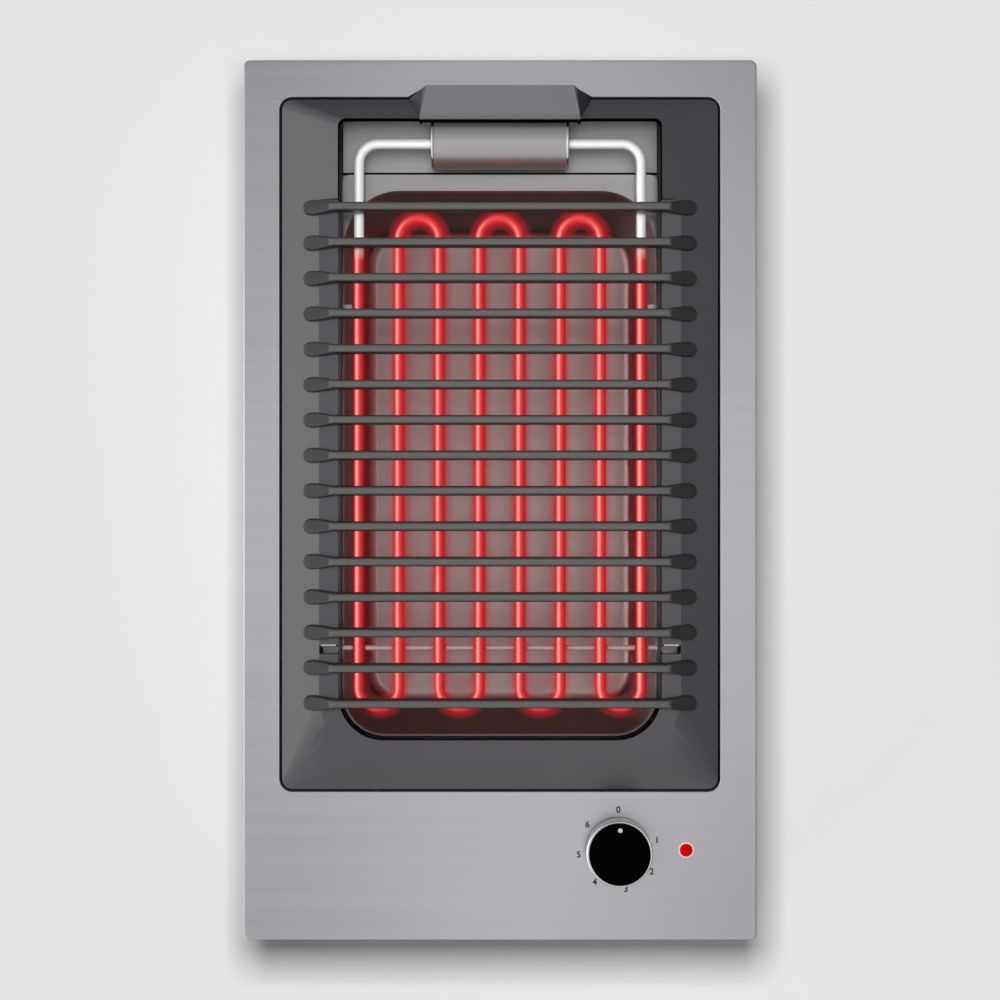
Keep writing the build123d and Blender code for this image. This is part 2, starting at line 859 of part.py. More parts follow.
with BuildPart() as foot_screws:
    with Locations([(x, y, foot_top - post_foot_sheet) for x, y in foot_screw_places]):
        Cylinder(head_radius, head_height, align=(Align.CENTER, Align.CENTER, Align.MAX))
        Cylinder(
            screw_radius,
            shelf_sheet + post_foot_sheet,
            align=(Align.CENTER, Align.CENTER, Align.MIN),
        )
save(foot_screws, "foot_screws")


def ring_along_x(start, length, outer, inner):
    # A ring or tube about the hinge's axis
    with BuildSketch(Plane.YZ.offset(start)) as section:
        with Locations((hinge_y, hinge_z)):
            Circle(outer)
            Circle(inner, mode=Mode.SUBTRACT)
    extrude(section.sketch, amount=length)


with BuildPart() as hinge_hub:
    ring_along_x(-hub_length / 2, hub_length, hub_radius, hub_bore)
    with BuildSketch(Plane.XY.offset(hinge_z - hub_radius)):
        with Locations((0, hinge_y)):
            Circle(lead_hole)
    extrude(amount=hub_radius, mode=Mode.SUBTRACT)
save(hinge_hub, "hinge_hub")

# Barrel that turns on the hub, open below and behind where it passes the post
with BuildPart() as hinge_barrel:
    ring_along_x(-barrel_length / 2, barrel_length, barrel_radius, barrel_radius - barrel_wall)
    slot_low = post_depth / 2 + swing_gap
    with Locations((0, hinge_y - slot_low, hinge_z + slot_low)):
        Box(
            post_width + 2 * swing_gap,
            barrel_radius + 1 + slot_low,
            barrel_radius + 1 + slot_low,
            align=(Align.CENTER, Align.MIN, Align.MAX),
            mode=Mode.SUBTRACT,
        )
save(hinge_barrel, "hinge_barrel")

with BuildPart() as barrel_caps:
    cap_radius = barrel_radius - barrel_wall - fit_gap
    ring_along_x(-barrel_length / 2, cap_wall, cap_radius, tube_radius + fit_gap)
    ring_along_x(barrel_length / 2 - cap_wall, cap_wall, cap_radius, tube_radius + fit_gap)
save(barrel_caps, "barrel_caps")

with BuildPart() as pivot_bushes:
    bush_radius = barrel_radius - barrel_wall - fit_gap
    outer_face = hub_length / 2 - bush_inset
    ring_along_x(outer_face - bush_width, bush_width, bush_radius, hub_radius + fit_gap)
    ring_along_x(-outer_face, bush_width, bush_radius, hub_radius + fit_gap)
save(pivot_bushes, "pivot_bushes")

# Tubular element: legs out of the barrel, then runs joined by half turns at the front and the back
with BuildPart() as heating_element:
    with BuildLine(Plane.XY.offset(hinge_z)) as path:
        step = Line((-cold_end, hinge_y), (-outer_run + leg_bend, hinge_y))
        step = JernArc(step @ 1, step % 1, leg_bend, 90)
        for run in range(run_count):
            place = -outer_run + run * run_spacing
            last = run == run_count - 1
            if run % 2 == 0:
                step = Line(step @ 1, (place, front_turn))
                step = JernArc(step @ 1, step % 1, turn_radius, 180)
            elif last:
                step = Line(step @ 1, (place, hinge_y - leg_bend))
                step = JernArc(step @ 1, step % 1, leg_bend, 90)
            else:
                step = Line(step @ 1, (place, rear_turn))
                step = JernArc(step @ 1, step % 1, turn_radius, -180)
        Line(step @ 1, (cold_end, hinge_y))
    with BuildSketch(Plane(origin=path.line @ 0, z_dir=path.line % 0)):
        Circle(tube_radius)
    sweep()
save(heating_element, "heating_element")

# Ceramic ends with their terminal pins, inside the barrel
with BuildPart() as element_terminals:
    for side in (-1, 1):
        bead_inner = cold_end - bead_length_x
        bead_start = -cold_end if side < 0 else bead_inner
        pin_start = -bead_inner if side < 0 else pin_end
        ring_along_x(bead_start, bead_length_x, bead_radius, terminal_bore)
        ring_along_x(pin_start, bead_inner - pin_end, pin_radius, terminal_bore)
save(element_terminals, "element_terminals")

# Rod across the front of the element and spacer strip across the back
with BuildPart() as support_rod:
    with BuildSketch(Plane.YZ.offset(-rod_length / 2)):
        with Locations((rod_y, rod_z)):
            Circle(rod_radius)
    extrude(amount=rod_length)
save(support_rod, "support_rod")

with BuildPart() as spacer_strip:
    with Locations((0, strip_y, strip_top)):
        Box(strip_length, strip_width, strip_sheet, align=(Align.CENTER, Align.CENTER, Align.MAX))
    with Locations([(side * (strip_length - hook_length) / 2, strip_y, strip_top) for side in (-1, 1)]):
        Box(
            hook_length,
            strip_width / 2 + hook_width,
            strip_sheet,
            align=(Align.CENTER, Align.MIN, Align.MAX),
        )
save(spacer_strip, "spacer_strip")

run_places = [-outer_run + run_spacing * number for number in range(run_count)]
with BuildPart() as element_clips:
    inner = tube_radius + fit_gap
    with BuildSketch(Plane.XZ.offset(-strip_y - clip_width / 2)):
        with Locations([(place, hinge_z) for place in run_places]):
            Circle(inner + clip_wall)
            Rectangle(2 * (inner + clip_wall), inner, align=(Align.CENTER, Align.MAX))
            Circle(inner, mode=Mode.SUBTRACT)
            Rectangle(2 * inner, inner + 1, align=(Align.CENTER, Align.MAX), mode=Mode.SUBTRACT)
            with Locations((0, -inner)):
                Rectangle(4 * inner, inner, align=(Align.CENTER, Align.MAX), mode=Mode.SUBTRACT)
    extrude(amount=clip_width)
save(element_clips, "element_clips")


# Drip tray: a drawn bowl with a flat rim that is broad at the back
def bowl(grow):
    # The tray's bowl as a solid block, grown by its sheet for the outside
    half = tray_half - tray_edge
    front = tray_front + tray_edge
    rear = tray_rear - tray_rear_rim
    front_corner = aperture_front_corner - tray_gap - tray_edge
    mouth = panel(
        tray_top, half + grow, front - grow, rear + grow, front_corner + grow, tray_rear_corner + grow
    )
    bottom = panel(
        tray_base + tray_sheet - grow,
        half - tray_side_draft + grow,
        front + tray_front_draft - grow,
        rear - tray_rear_draft + grow,
        tray_floor_corner + grow,
        tray_floor_corner + grow,
    )
    with BuildPart() as block:
        loft([bottom.face(), mouth.face()], ruled=True)
        fillet(block.faces().sort_by(Axis.Z)[0].edges(), tray_fillet + grow)
    return block.part


with BuildPart() as drip_tray:
    rim = panel(
        tray_top - tray_sheet,
        tray_half,
        tray_front,
        tray_rear,
        aperture_front_corner - tray_gap,
        aperture_rear_corner,
    )
    extrude(rim, amount=tray_sheet)
    add(bowl(tray_sheet))
    add(bowl(0), mode=Mode.SUBTRACT)
save(drip_tray, "drip_tray")

# Cast grid: drafted bars with broad noses that reach down over the slopes, joined by a rail on each side
foot_z = top + ledge_rise
grid_top = top + grid_rise
draft = tan(radians(bar_side_angle))
tip_z = foot_z - slope_rise * (half_bar - ledge_half) + slope_gap
foot_width = bar_top_width + 2 * draft * (grid_top - tip_z)
heel = ledge_half + slope_gap / slope_rise
with BuildSketch(Plane.XZ) as bar_side:
    with BuildLine():
        right = Polyline(
            (0, grid_top),
            (half_ridge, grid_top),
            (half_bar, tip_z + nose_height),
            (half_bar, tip_z),
            (heel, foot_z),
            (0, foot_z),
        )
        mirror(right, about=Plane.YZ)
    make_face()

with BuildPart() as bar:
    extrude(bar_side.sketch, amount=foot_width, both=True)
    with BuildSketch(Plane.YZ.offset(-half_bar)):
        with BuildLine():
            Polyline(
                (-bar_top_width / 2, grid_top),
                (bar_top_width / 2, grid_top),
                (foot_width / 2, tip_z),
                (-foot_width / 2, tip_z),
                close=True,
            )
        make_face()
    extrude(amount=2 * half_bar, mode=Mode.INTERSECT)
    with BuildSketch(Plane.XY.offset(tip_z)):
        SlotOverall(2 * half_bar, 2 * nose_radius)
    extrude(amount=grid_top - tip_z, mode=Mode.INTERSECT)

nose_middle = half_bar - nose_length / 2
with BuildPart() as noses:
    extrude(bar_side.sketch, amount=nose_radius, both=True)
    with BuildSketch(Plane.XY.offset(tip_z)):
        with Locations((-nose_middle, 0), (nose_middle, 0)):
            SlotOverall(nose_length, 2 * nose_radius)
    extrude(amount=grid_top - tip_z, mode=Mode.INTERSECT)

with BuildPart() as grill_grid:
    with Locations([(0, place, 0) for place in bar_places]):
        add(bar.part)
        add(noses.part)
    rail_x = aperture_half - rail_gap - rail_width / 2
    rail_front = last_bar + bar_top_width / 2
    for side in (-1, 1):
        with Locations((side * rail_x, rail_front, foot_z + rail_bite)):
            Box(
                rail_width,
                first_bar - rail_front,
                rail_height,
                align=(Align.CENTER, Align.MIN, Align.MAX),
            )
save(grill_grid, "grill_grid")

# Knob: black cap in a metal ring, with its pointer dot and the clip that grips the shaft
knob_base = top + knob_gap
knob_top = top + knob_height
hub_outer = shaft_radius + fit_gap + hub_wall
with BuildPart() as knob_cap:
    with Locations((knob_side, knob_y, knob_base)):
        Cylinder(knob_radius, knob_top - knob_base, align=(Align.CENTER, Align.CENTER, Align.MIN))
    fillet(knob_cap.faces().sort_by(Axis.Z)[-1].edges(), knob_round)
    with BuildSketch(Plane.XY.offset(knob_base)):
        with Locations((knob_side, knob_y)):
            Circle(knob_radius - knob_wall)
            Circle(hub_outer, mode=Mode.SUBTRACT)
    extrude(amount=knob_top - knob_base - 2 * knob_wall, mode=Mode.SUBTRACT)
    with BuildSketch(Plane.XY.offset(knob_base)):
        with Locations((knob_side, knob_y)):
            Circle(shaft_radius + fit_gap)
            with Locations((0, -shaft_radius + shaft_flat - fit_gap)):
                Rectangle(
                    4 * shaft_radius,
                    2 * shaft_flat,
                    align=(Align.CENTER, Align.MAX),
                    mode=Mode.SUBTRACT,
                )
    extrude(amount=top + shaft_rise - knob_base + fit_gap, mode=Mode.SUBTRACT)
    with Locations((knob_side, knob_y + pointer_reach, knob_top)):
        Hole(pointer_radius + fit_gap, pointer_sink)
save(knob_cap, "knob_cap")

with BuildPart() as knob_ring:
    with BuildSketch(Plane.XY.offset(knob_base)):
        with Locations((knob_side, knob_y)):
            Circle(ring_radius)
            Circle(knob_radius + fit_gap, mode=Mode.SUBTRACT)
    extrude(amount=ring_height - knob_gap)
    chamfer(knob_ring.edges().group_by(Axis.Z)[-1].sort_by(SortBy.LENGTH)[-1], ring_wall / 3)
save(knob_ring, "knob_ring")

with BuildPart() as knob_pointer:
    with Locations((knob_side, knob_y + pointer_reach, knob_top)):
        Cylinder(pointer_radius, pointer_sink, align=(Align.CENTER, Align.CENTER, Align.MAX))
save(knob_pointer, "knob_pointer")

with BuildPart() as knob_clip:
    with BuildSketch(Plane.XY.offset(knob_base + 1)):
        with Locations((knob_side, knob_y)):
            Circle(hub_outer + fit_gap + clip_ring_wall)
            Circle(hub_outer + fit_gap, mode=Mode.SUBTRACT)
            with Locations((0, hub_outer)):
                Rectangle(clip_ring_gap, hub_outer, mode=Mode.SUBTRACT)
    extrude(amount=clip_ring_height)
save(knob_clip, "knob_clip")

with BuildPart() as knob_shaft:
    shaft_low = regulator_top - shaft_socket + 1
    with BuildSketch(Plane.XY.offset(shaft_low)):
        with Locations((knob_side, knob_y)):
            Circle(shaft_radius)
    extrude(amount=knob_base - shaft_low)
    with BuildSketch(Plane.XY.offset(knob_base)):
        with Locations((knob_side, knob_y)):
            Circle(shaft_radius)
            with Locations((0, -shaft_radius + shaft_flat)):
                Rectangle(
                    4 * shaft_radius,
                    2 * shaft_flat,
                    align=(Align.CENTER, Align.MAX),
                    mode=Mode.SUBTRACT,
                )
    extrude(amount=top + shaft_rise - knob_base)
save(knob_shaft, "knob_shaft")

# Energy regulator under the plate, held by two screws beside its shaft
with BuildPart() as regulator_body:
    with Locations((knob_side, knob_y, regulator_top)):
        Box(
            regulator_width,
            regulator_length,
            regulator_height,
            align=(Align.CENTER, Align.CENTER, Align.MAX),
        )
        Hole(shaft_radius + fit_gap, shaft_socket)
    with Locations([(x, knob_y, regulator_top) for x in regulator_screw_places]):
        Hole(screw_radius + fit_gap, regulator_screw_bite)
    chamfer(regulator_body.edges().filter_by(Axis.Z).group_by(SortBy.LENGTH)[-1], regulator_edge)
save(regulator_body, "regulator_body")

with BuildPart() as regulator_screws:
    with Locations([(x, knob_y, top) for x in regulator_screw_places]):
        Cylinder(head_radius, head_height, align=(Align.CENTER, Align.CENTER, Align.MIN))
        Cylinder(
            screw_radius,
            top - regulator_top + regulator_screw_bite,
            align=(Align.CENTER, Align.CENTER, Align.MAX),
        )
save(regulator_screws, "regulator_screws")

with BuildPart() as shaft_seal:
    with BuildSketch(Plane.XY.offset(regulator_top)):
        with Locations((knob_side, knob_y)):
            Circle(shaft_hole - fit_gap)
            Circle(shaft_radius + 2 * fit_gap, mode=Mode.SUBTRACT)
    extrude(amount=top - regulator_top)
save(shaft_seal, "shaft_seal")

# Pilot lamp: holder through the plate, red lens, ring round it and a push-on clip below
with BuildPart() as lamp_holder:
    with Locations((lamp_x, knob_y, top)):
        Cylinder(holder_radius, holder_length, align=(Align.CENTER, Align.CENTER, Align.MAX))
        Hole(lens_radius + fit_gap, lens_seat)
save(lamp_holder, "lamp_holder")

with BuildPart() as lamp_lens:
    with Locations((lamp_x, knob_y, top - lens_seat)):
        Cylinder(lens_radius, lens_seat + lens_rise, align=(Align.CENTER, Align.CENTER, Align.MIN))
    with Locations((lamp_x, knob_y, top + lens_rise - lens_dome)):
        Sphere(lens_dome, mode=Mode.INTERSECT)
save(lamp_lens, "lamp_lens")

with BuildPart() as lamp_bezel:
    with BuildSketch(Plane.XY.offset(top)):
        with Locations((lamp_x, knob_y)):
            Circle(bezel_radius)
            Circle(lens_radius + fit_gap, mode=Mode.SUBTRACT)
    extrude(amount=bezel_rise)
    chamfer(lamp_bezel.edges().group_by(Axis.Z)[-1].sort_by(SortBy.LENGTH)[-1], bezel_rise / 2)
save(lamp_bezel, "lamp_bezel")

with BuildPart() as lamp_clip:
    with BuildSketch(Plane.XY.offset(carrier_base)):
        with Locations((lamp_x, knob_y)):
            Circle(holder_radius + lamp_clip_width)
            Circle(holder_radius + fit_gap, mode=Mode.SUBTRACT)
    extrude(amount=-casing_sheet)
save(lamp_clip, "lamp_clip")

# Pocket at the back for the supply cable, with its gland, nut, terminal block and earth stud
with BuildPart() as inlet_pocket:
    low = (Align.CENTER, Align.MAX, Align.MIN)
    with Locations((-inlet_side, casing_end, base_sheet)):
        Box(
            inlet_width + 2 * inlet_sheet,
            inlet_reach + inlet_sheet,
            inlet_height + inlet_sheet - base_sheet,
            align=low,
        )
        Box(inlet_width, inlet_reach, inlet_height - base_sheet, align=low, mode=Mode.SUBTRACT)
    with BuildSketch(Plane.XZ.offset(-inlet_y)):
        with Locations((-inlet_side, gland_z)):
            Circle(gland_thread + fit_gap)
    extrude(amount=inlet_sheet, mode=Mode.SUBTRACT)
save(inlet_pocket, "inlet_pocket")

with BuildPart() as cable_gland:
    with BuildSketch(Plane.XZ.offset(-inlet_y)):
        with Locations((-inlet_side, gland_z)):
            Circle(gland_radius)
    extrude(amount=-gland_reach)
    fillet(cable_gland.edges().group_by(Axis.Y)[-1], gland_radius / 4)
    with BuildSketch(Plane.XZ.offset(-inlet_y)):
        with Locations((-inlet_side, gland_z)):
            Circle(gland_thread)
    extrude(amount=gland_inside)
    with BuildSketch(Plane.XZ.offset(-inlet_y + gland_inside)):
        with Locations((-inlet_side, gland_z)):
            Circle(gland_bore)
    extrude(amount=-gland_inside - gland_reach, mode=Mode.SUBTRACT)
save(cable_gland, "cable_gland")

with BuildPart() as gland_nut:
    with BuildSketch(Plane.XZ.offset(-inlet_y + inlet_sheet)):
        with Locations((-inlet_side, gland_z)):
            RegularPolygon(gland_nut_width / 2, 6, major_radius=False, rotation=30)
            Circle(gland_thread + fit_gap, mode=Mode.SUBTRACT)
    extrude(amount=gland_nut_height)
save(gland_nut, "gland_nut")

with BuildPart() as terminal_block:
    with Locations((-inlet_side, block_y, base_sheet)):
        Box(block_width, block_length, block_height, align=(Align.CENTER, Align.CENTER, Align.MIN))
    with Locations((-inlet_side, block_y, base_sheet + block_height)):
        with GridLocations(block_width / 3, block_length / 2, 3, 2):
            Hole(2 * screw_radius, block_height / 4)
save(terminal_block, "terminal_block")

with BuildPart() as earth_stud:
    with BuildSketch(Plane.XY.offset(base_sheet)):
        with Locations((-earth_side, earth_y)):
            RegularPolygon(nut_radius, 6)
    extrude(amount=nut_height)
    with Locations((-earth_side, earth_y, base_sheet)):
        Cylinder(stud_radius, 2 * nut_height + 4, align=(Align.CENTER, Align.CENTER, Align.MIN))
save(earth_stud, "earth_stud")


def lead(points, bends):
    # One insulated lead along straight runs joined by arcs
    with BuildLine() as route:
        FilletPolyline(*points, radius=bends)
    with BuildSketch(Plane(origin=route.line @ 0, z_dir=route.line % 0)) as section:
        Circle(lead_radius)
    sweep(section.sketch, path=route.line)


# Leads: from the element through the post and the bush, and between the block, regulator and lamp
regulator_base = regulator_top - regulator_height
with BuildPart() as element_leads:
    pair = lead_radius + pair_gap / 2
    lead(
        [
            (lead_end, hinge_y, hinge_z),
            (pair, hinge_y, hinge_z),
            (pair, hinge_y, lead_height),
            (pair, knob_y + regulator_length / 3, lead_height),
            (knob_side - regulator_width / 4, knob_y + regulator_length / 3, lead_height),
            (knob_side - regulator_width / 4, knob_y + regulator_length / 3, regulator_base),
        ],
        [hub_turn, lead_bend, lead_bend, lead_bend],
    )
    low_lead = base_sheet + block_height / 2
    block_right = -inlet_side + block_width / 2
    lead(
        [
            (-lead_end, hinge_y, hinge_z),
            (-pair, hinge_y, hinge_z),
            (-pair, hinge_y, low_lead),
            (block_right + lead_detour, hinge_y, low_lead),
            (block_right + lead_detour, block_y, low_lead),
            (block_right, block_y, low_lead),
        ],
        [hub_turn, low_bend, lead_bend, lead_bend],
    )
save(element_leads, "element_leads")

with BuildPart() as supply_leads:
    block_front = block_y - block_length / 2
    for side in (-1, 1):
        start_x = -inlet_side + side * lead_spread
        cross_y = knob_y + side * lead_cross_gap / 2
        end_x = knob_side + side * lead_spread
        lead(
            [
                (start_x, block_front, low_lead),
                (start_x, cross_y, low_lead),
                (end_x, cross_y, low_lead),
                (end_x, cross_y, regulator_base),
            ],
            lead_bend,
        )
save(supply_leads, "supply_leads")

with BuildPart() as lamp_leads:
    holder_base = top - holder_length
    for side in (-1, 1):
        lead_y = knob_y + side * lamp_lead_gap / 2
        lead(
            [
                (lamp_x, lead_y, holder_base),
                (lamp_x, lead_y, holder_base - lamp_lead_drop),
                (knob_side + regulator_width / 2, lead_y, holder_base - lamp_lead_drop),
            ],
            lamp_lead_bend,
        )
save(lamp_leads, "lamp_leads")

# Worktop clamps: arms that swing out under the worktop on screws held in lugs on the casing
clamp_x = casing_half + clamp_setout
clamp_y = casing_end - clamp_end_inset
clamp_top = top - clamp_depth
clamp_places = [(1, 1), (-1, 1), (1, -1), (-1, -1)]
lug_reach = clamp_x + clamp_half_width - casing_half - bracket_sheet
with BuildPart() as clamp_brackets:
    for side, end in clamp_places:
        wall = Align.MIN if side > 0 else Align.MAX
        mid_z = clamp_top - clamp_thickness / 2
        with Locations((side * casing_half, end * clamp_y, mid_z)):
            Box(bracket_sheet, lug_length, bracket_height, align=(wall, Align.CENTER, Align.CENTER))
        upper = clamp_top + lug_gap
        lower = clamp_top - clamp_thickness - lug_gap - lug_sheet
        for lug_z in (upper, lower):
            with Locations((side * (casing_half + bracket_sheet), end * clamp_y, lug_z)):
                Box(lug_reach, lug_length, lug_sheet, align=(wall, Align.CENTER, Align.MIN))
            with Locations((side * clamp_x, end * clamp_y, lug_z + lug_sheet)):
                Hole(clamp_screw_radius + fit_gap, lug_sheet)
save(clamp_brackets, "clamp_brackets")

with BuildPart() as clamp_screws:
    low = clamp_top - clamp_thickness - lug_gap - lug_sheet
    high = clamp_top + lug_gap + lug_sheet + clamp_screw_tip
    for side, end in clamp_places:
        with Locations((side * clamp_x, end * clamp_y, low)):
            Cylinder(clamp_screw_radius, high - low, align=(Align.CENTER, Align.CENTER, Align.MIN))
            Cylinder(clamp_screw_head, head_height, align=(Align.CENTER, Align.CENTER, Align.MAX))
save(clamp_screws, "clamp_screws")

for number, (side, end) in enumerate(clamp_places, start=1):
    with BuildPart() as worktop_clamp:
        pivot = (side * clamp_x, end * clamp_y)
        with BuildSketch(Plane.XY.offset(clamp_top - clamp_thickness)):
            with Locations(pivot):
                Circle(clamp_half_width)
                Rectangle(2 * clamp_half_width, clamp_reach, align=(Align.CENTER, Align.MAX))
        extrude(amount=clamp_thickness)
        tip_y = end * clamp_y - clamp_reach
        with Locations((side * clamp_x, tip_y, clamp_top)):
            Box(
                2 * clamp_half_width,
                2 * clamp_half_width,
                clamp_pad,
                align=(Align.CENTER, Align.MIN, Align.MIN),
            )
        with Locations((side * clamp_x, end * clamp_y, clamp_top)):
            Hole(clamp_screw_radius + fit_gap, clamp_thickness)
        fillet(worktop_clamp.edges().filter_by(Axis.Z).group_by(Axis.Y)[0], clamp_round)
    save(worktop_clamp, f"worktop_clamp_{number}")
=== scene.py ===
import json
import math

import bmesh
import bpy
from mathutils import Matrix, Vector


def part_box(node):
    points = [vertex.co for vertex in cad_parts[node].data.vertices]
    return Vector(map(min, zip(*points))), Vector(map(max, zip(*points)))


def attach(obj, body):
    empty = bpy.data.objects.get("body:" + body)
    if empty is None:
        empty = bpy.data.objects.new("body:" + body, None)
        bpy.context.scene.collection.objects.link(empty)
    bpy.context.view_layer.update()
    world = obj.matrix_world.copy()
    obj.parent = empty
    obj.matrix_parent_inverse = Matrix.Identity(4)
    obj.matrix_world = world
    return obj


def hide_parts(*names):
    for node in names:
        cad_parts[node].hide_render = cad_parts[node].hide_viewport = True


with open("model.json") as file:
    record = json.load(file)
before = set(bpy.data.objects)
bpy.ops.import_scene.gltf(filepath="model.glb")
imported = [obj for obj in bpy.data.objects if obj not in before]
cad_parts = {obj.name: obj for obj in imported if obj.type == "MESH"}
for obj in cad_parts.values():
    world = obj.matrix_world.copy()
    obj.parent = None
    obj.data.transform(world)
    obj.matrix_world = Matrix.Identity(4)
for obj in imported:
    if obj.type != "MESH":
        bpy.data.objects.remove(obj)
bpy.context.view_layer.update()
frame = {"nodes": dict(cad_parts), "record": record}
nodes = frame["nodes"]
print("frame loaded:", len(nodes), "nodes")

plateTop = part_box("top_plate")[1][2]

# camera straight above the plate, as the photograph was taken
viewFrom = {"height": 1.1, "lens": 67.8, "sensor": 36.0}

photoCamera = bpy.data.cameras.new("photoCamera")
photoCamera.lens = viewFrom["lens"]
photoCamera.sensor_width = viewFrom["sensor"]
cameraObject = bpy.data.objects.new("photoCamera", photoCamera)
cameraObject.location = (0.0, 0.0, plateTop + viewFrom["height"])
bpy.context.scene.collection.objects.link(cameraObject)
bpy.context.scene.camera = cameraObject
bpy.context.scene.view_settings.view_transform = "Standard"
print("camera set")


# ---- small helpers for node trees and meshes

def addNode(tree, kind, inputs=None, **settings):
    node = tree.nodes.new(kind)
    for name, value in settings.items():
        setattr(node, name, value)
    for name, value in (inputs or {}).items():
        node.inputs[name].default_value = value
    return node


def addRamp(tree, source, stops, interpolation="EASE"):
    ramp = addNode(tree, "ShaderNodeValToRGB")
    ramp.color_ramp.interpolation = interpolation
    while len(ramp.color_ramp.elements) < len(stops):
        ramp.color_ramp.elements.new(0.5)
    for element, (place, shade) in zip(ramp.color_ramp.elements, stops):
        element.position = place
        element.color = (*shade, 1.0) if isinstance(shade, tuple) else (shade, shade, shade, 1.0)
    tree.links.new(source, ramp.inputs["Fac"])
    return ramp.outputs["Color"]


def newGroup(name, inputs, outputs):
    group = bpy.data.node_groups.new(name, "ShaderNodeTree")
    for label, kind, value in inputs:
        socket = group.interface.new_socket(name=label, in_out="INPUT", socket_type=kind)
        socket.default_value = value
    for label, kind in outputs:
        group.interface.new_socket(name=label, in_out="OUTPUT", socket_type=kind)
    return group, group.nodes.new("NodeGroupInput"), group.nodes.new("NodeGroupOutput")


def newMaterial(name, colour, roughness, metallic=0.0):
    material = bpy.data.materials.new(name)
    material.use_nodes = True
    surface = material.node_tree.nodes["Principled BSDF"]
    surface.inputs["Base Color"].default_value = (*colour, 1.0)
    surface.inputs["Roughness"].default_value = roughness
    surface.inputs["Metallic"].default_value = metallic
    return material, material.node_tree, surface


def useGroup(tree, group, **values):
    node = tree.nodes.new("ShaderNodeGroup")
    node.node_tree = group
    for name, value in values.items():
        node.inputs[name].default_value = value
    return node


def tinted(tree, colour, mask, darker, lighter):
    # the finish's colour, varied between two factors by a mask
    low = tuple(channel * darker for channel in colour)
    high = tuple(channel * lighter for channel in colour)
    return addRamp(tree, mask, [(0.0, low), (1.0, high)], "LINEAR")


def feed(tree, socket, given):
    # give a socket another node's output, a colour or a number
    if isinstance(given, bpy.types.NodeSocket):
        tree.links.new(given, socket)
    else:
        socket.default_value = (*given, 1.0) if isinstance(given, tuple) else given


def mixShades(tree, factor, first, second, blend="MIX"):
    mix = addNode(tree, "ShaderNodeMix", data_type="RGBA", blend_type=blend)
    for label, given in (("Factor", factor), ("A", first), ("B", second)):
        feed(tree, mix.inputs[label], given)
    return mix.outputs["Result"]


def reckon(tree, operation, *values, clamp=False):
    node = addNode(tree, "ShaderNodeMath", operation=operation, use_clamp=clamp)
    for socket, given in zip(node.inputs, values):
        feed(tree, socket, given)
    return node.outputs[0]


def spread(tree, value, ends):
    # bring a value from one range to another
    node = addNode(tree, "ShaderNodeMapRange", ends)
    tree.links.new(value, node.inputs["Value"])
    return node.outputs["Result"]


def placeParts(tree, kind="Object"):
    # X, Y and Z of the object's own coordinates or of its surface's direction
    place = addNode(tree, "ShaderNodeTexCoord")
    parts = addNode(tree, "ShaderNodeSeparateXYZ")
    tree.links.new(place.outputs[kind], parts.inputs[0])
    return parts.outputs


def roundOver(work, geometry, width, segments, affect="EDGES", clamp=False):
    return bmesh.ops.bevel(
        work, geom=geometry, offset=width, offset_type="OFFSET", affect=affect, segments=segments,
        profile=0.5, material=-1, clamp_overlap=clamp,
    )


def addRoundedBox(work, size, middle, width):
    corners = bmesh.ops.create_cube(work, size=1.0)["verts"]
    bmesh.ops.scale(work, vec=size, verts=corners)
    bmesh.ops.translate(work, vec=middle, verts=corners)
    roundOver(work, list({edge for vert in corners for edge in vert.link_edges}), width, 2)


def smoothed(mesh, sharpFrom=None):
    mesh.shade_smooth()
    if sharpFrom is not None:
        mesh.set_sharp_from_angle(angle=math.radians(sharpFrom))


def newPiece(name, work, finish):
    # the finished bmesh as an object in the scene
    mesh = bpy.data.meshes.new(name)
    work.to_mesh(mesh)
    work.free()
    mesh.materials.append(finish)
    piece = bpy.data.objects.new(name, mesh)
    bpy.context.scene.collection.objects.link(piece)
    return piece


black = (0.0, 0.0, 0.0)
weldDistance = 0.00002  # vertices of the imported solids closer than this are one


# ---- shared effects

def buildGrain():
    # brushed lines that run along X, fine ones over broad streaks
    group, start, end = newGroup(
        "brushedGrain",
        [("Across", "NodeSocketFloat", 1400.0), ("Along", "NodeSocketFloat", 9.0)],
        [("Shade", "NodeSocketFloat"), ("Height", "NodeSocketFloat")],
    )
    place = addNode(group, "ShaderNodeTexCoord")
    stretch = addNode(group, "ShaderNodeCombineXYZ")
    for axis, name in (("X", "Along"), ("Y", "Across"), ("Z", "Across")):
        group.links.new(start.outputs[name], stretch.inputs[axis])
    scaled = addNode(group, "ShaderNodeVectorMath", operation="MULTIPLY")
    group.links.new(place.outputs["Object"], scaled.inputs[0])
    group.links.new(stretch.outputs["Vector"], scaled.inputs[1])
    fine = addNode(group, "ShaderNodeTexNoise", {"Scale": 1.0, "Detail": 3.0, "Roughness": 0.65})
    group.links.new(scaled.outputs["Vector"], fine.inputs["Vector"])
    wide = addNode(group, "ShaderNodeVectorMath", {"Scale": 0.16}, operation="SCALE")
    group.links.new(scaled.outputs["Vector"], wide.inputs[0])
    broad = addNode(group, "ShaderNodeTexNoise", {"Scale": 1.0, "Detail": 2.0})
    group.links.new(wide.outputs["Vector"], broad.inputs["Vector"])
    both = reckon(group, "ADD", fine.outputs["Fac"], broad.outputs["Fac"])
    group.links.new(reckon(group, "MULTIPLY", both, 0.5), end.inputs["Shade"])
    group.links.new(fine.outputs["Fac"], end.inputs["Height"])
    return group


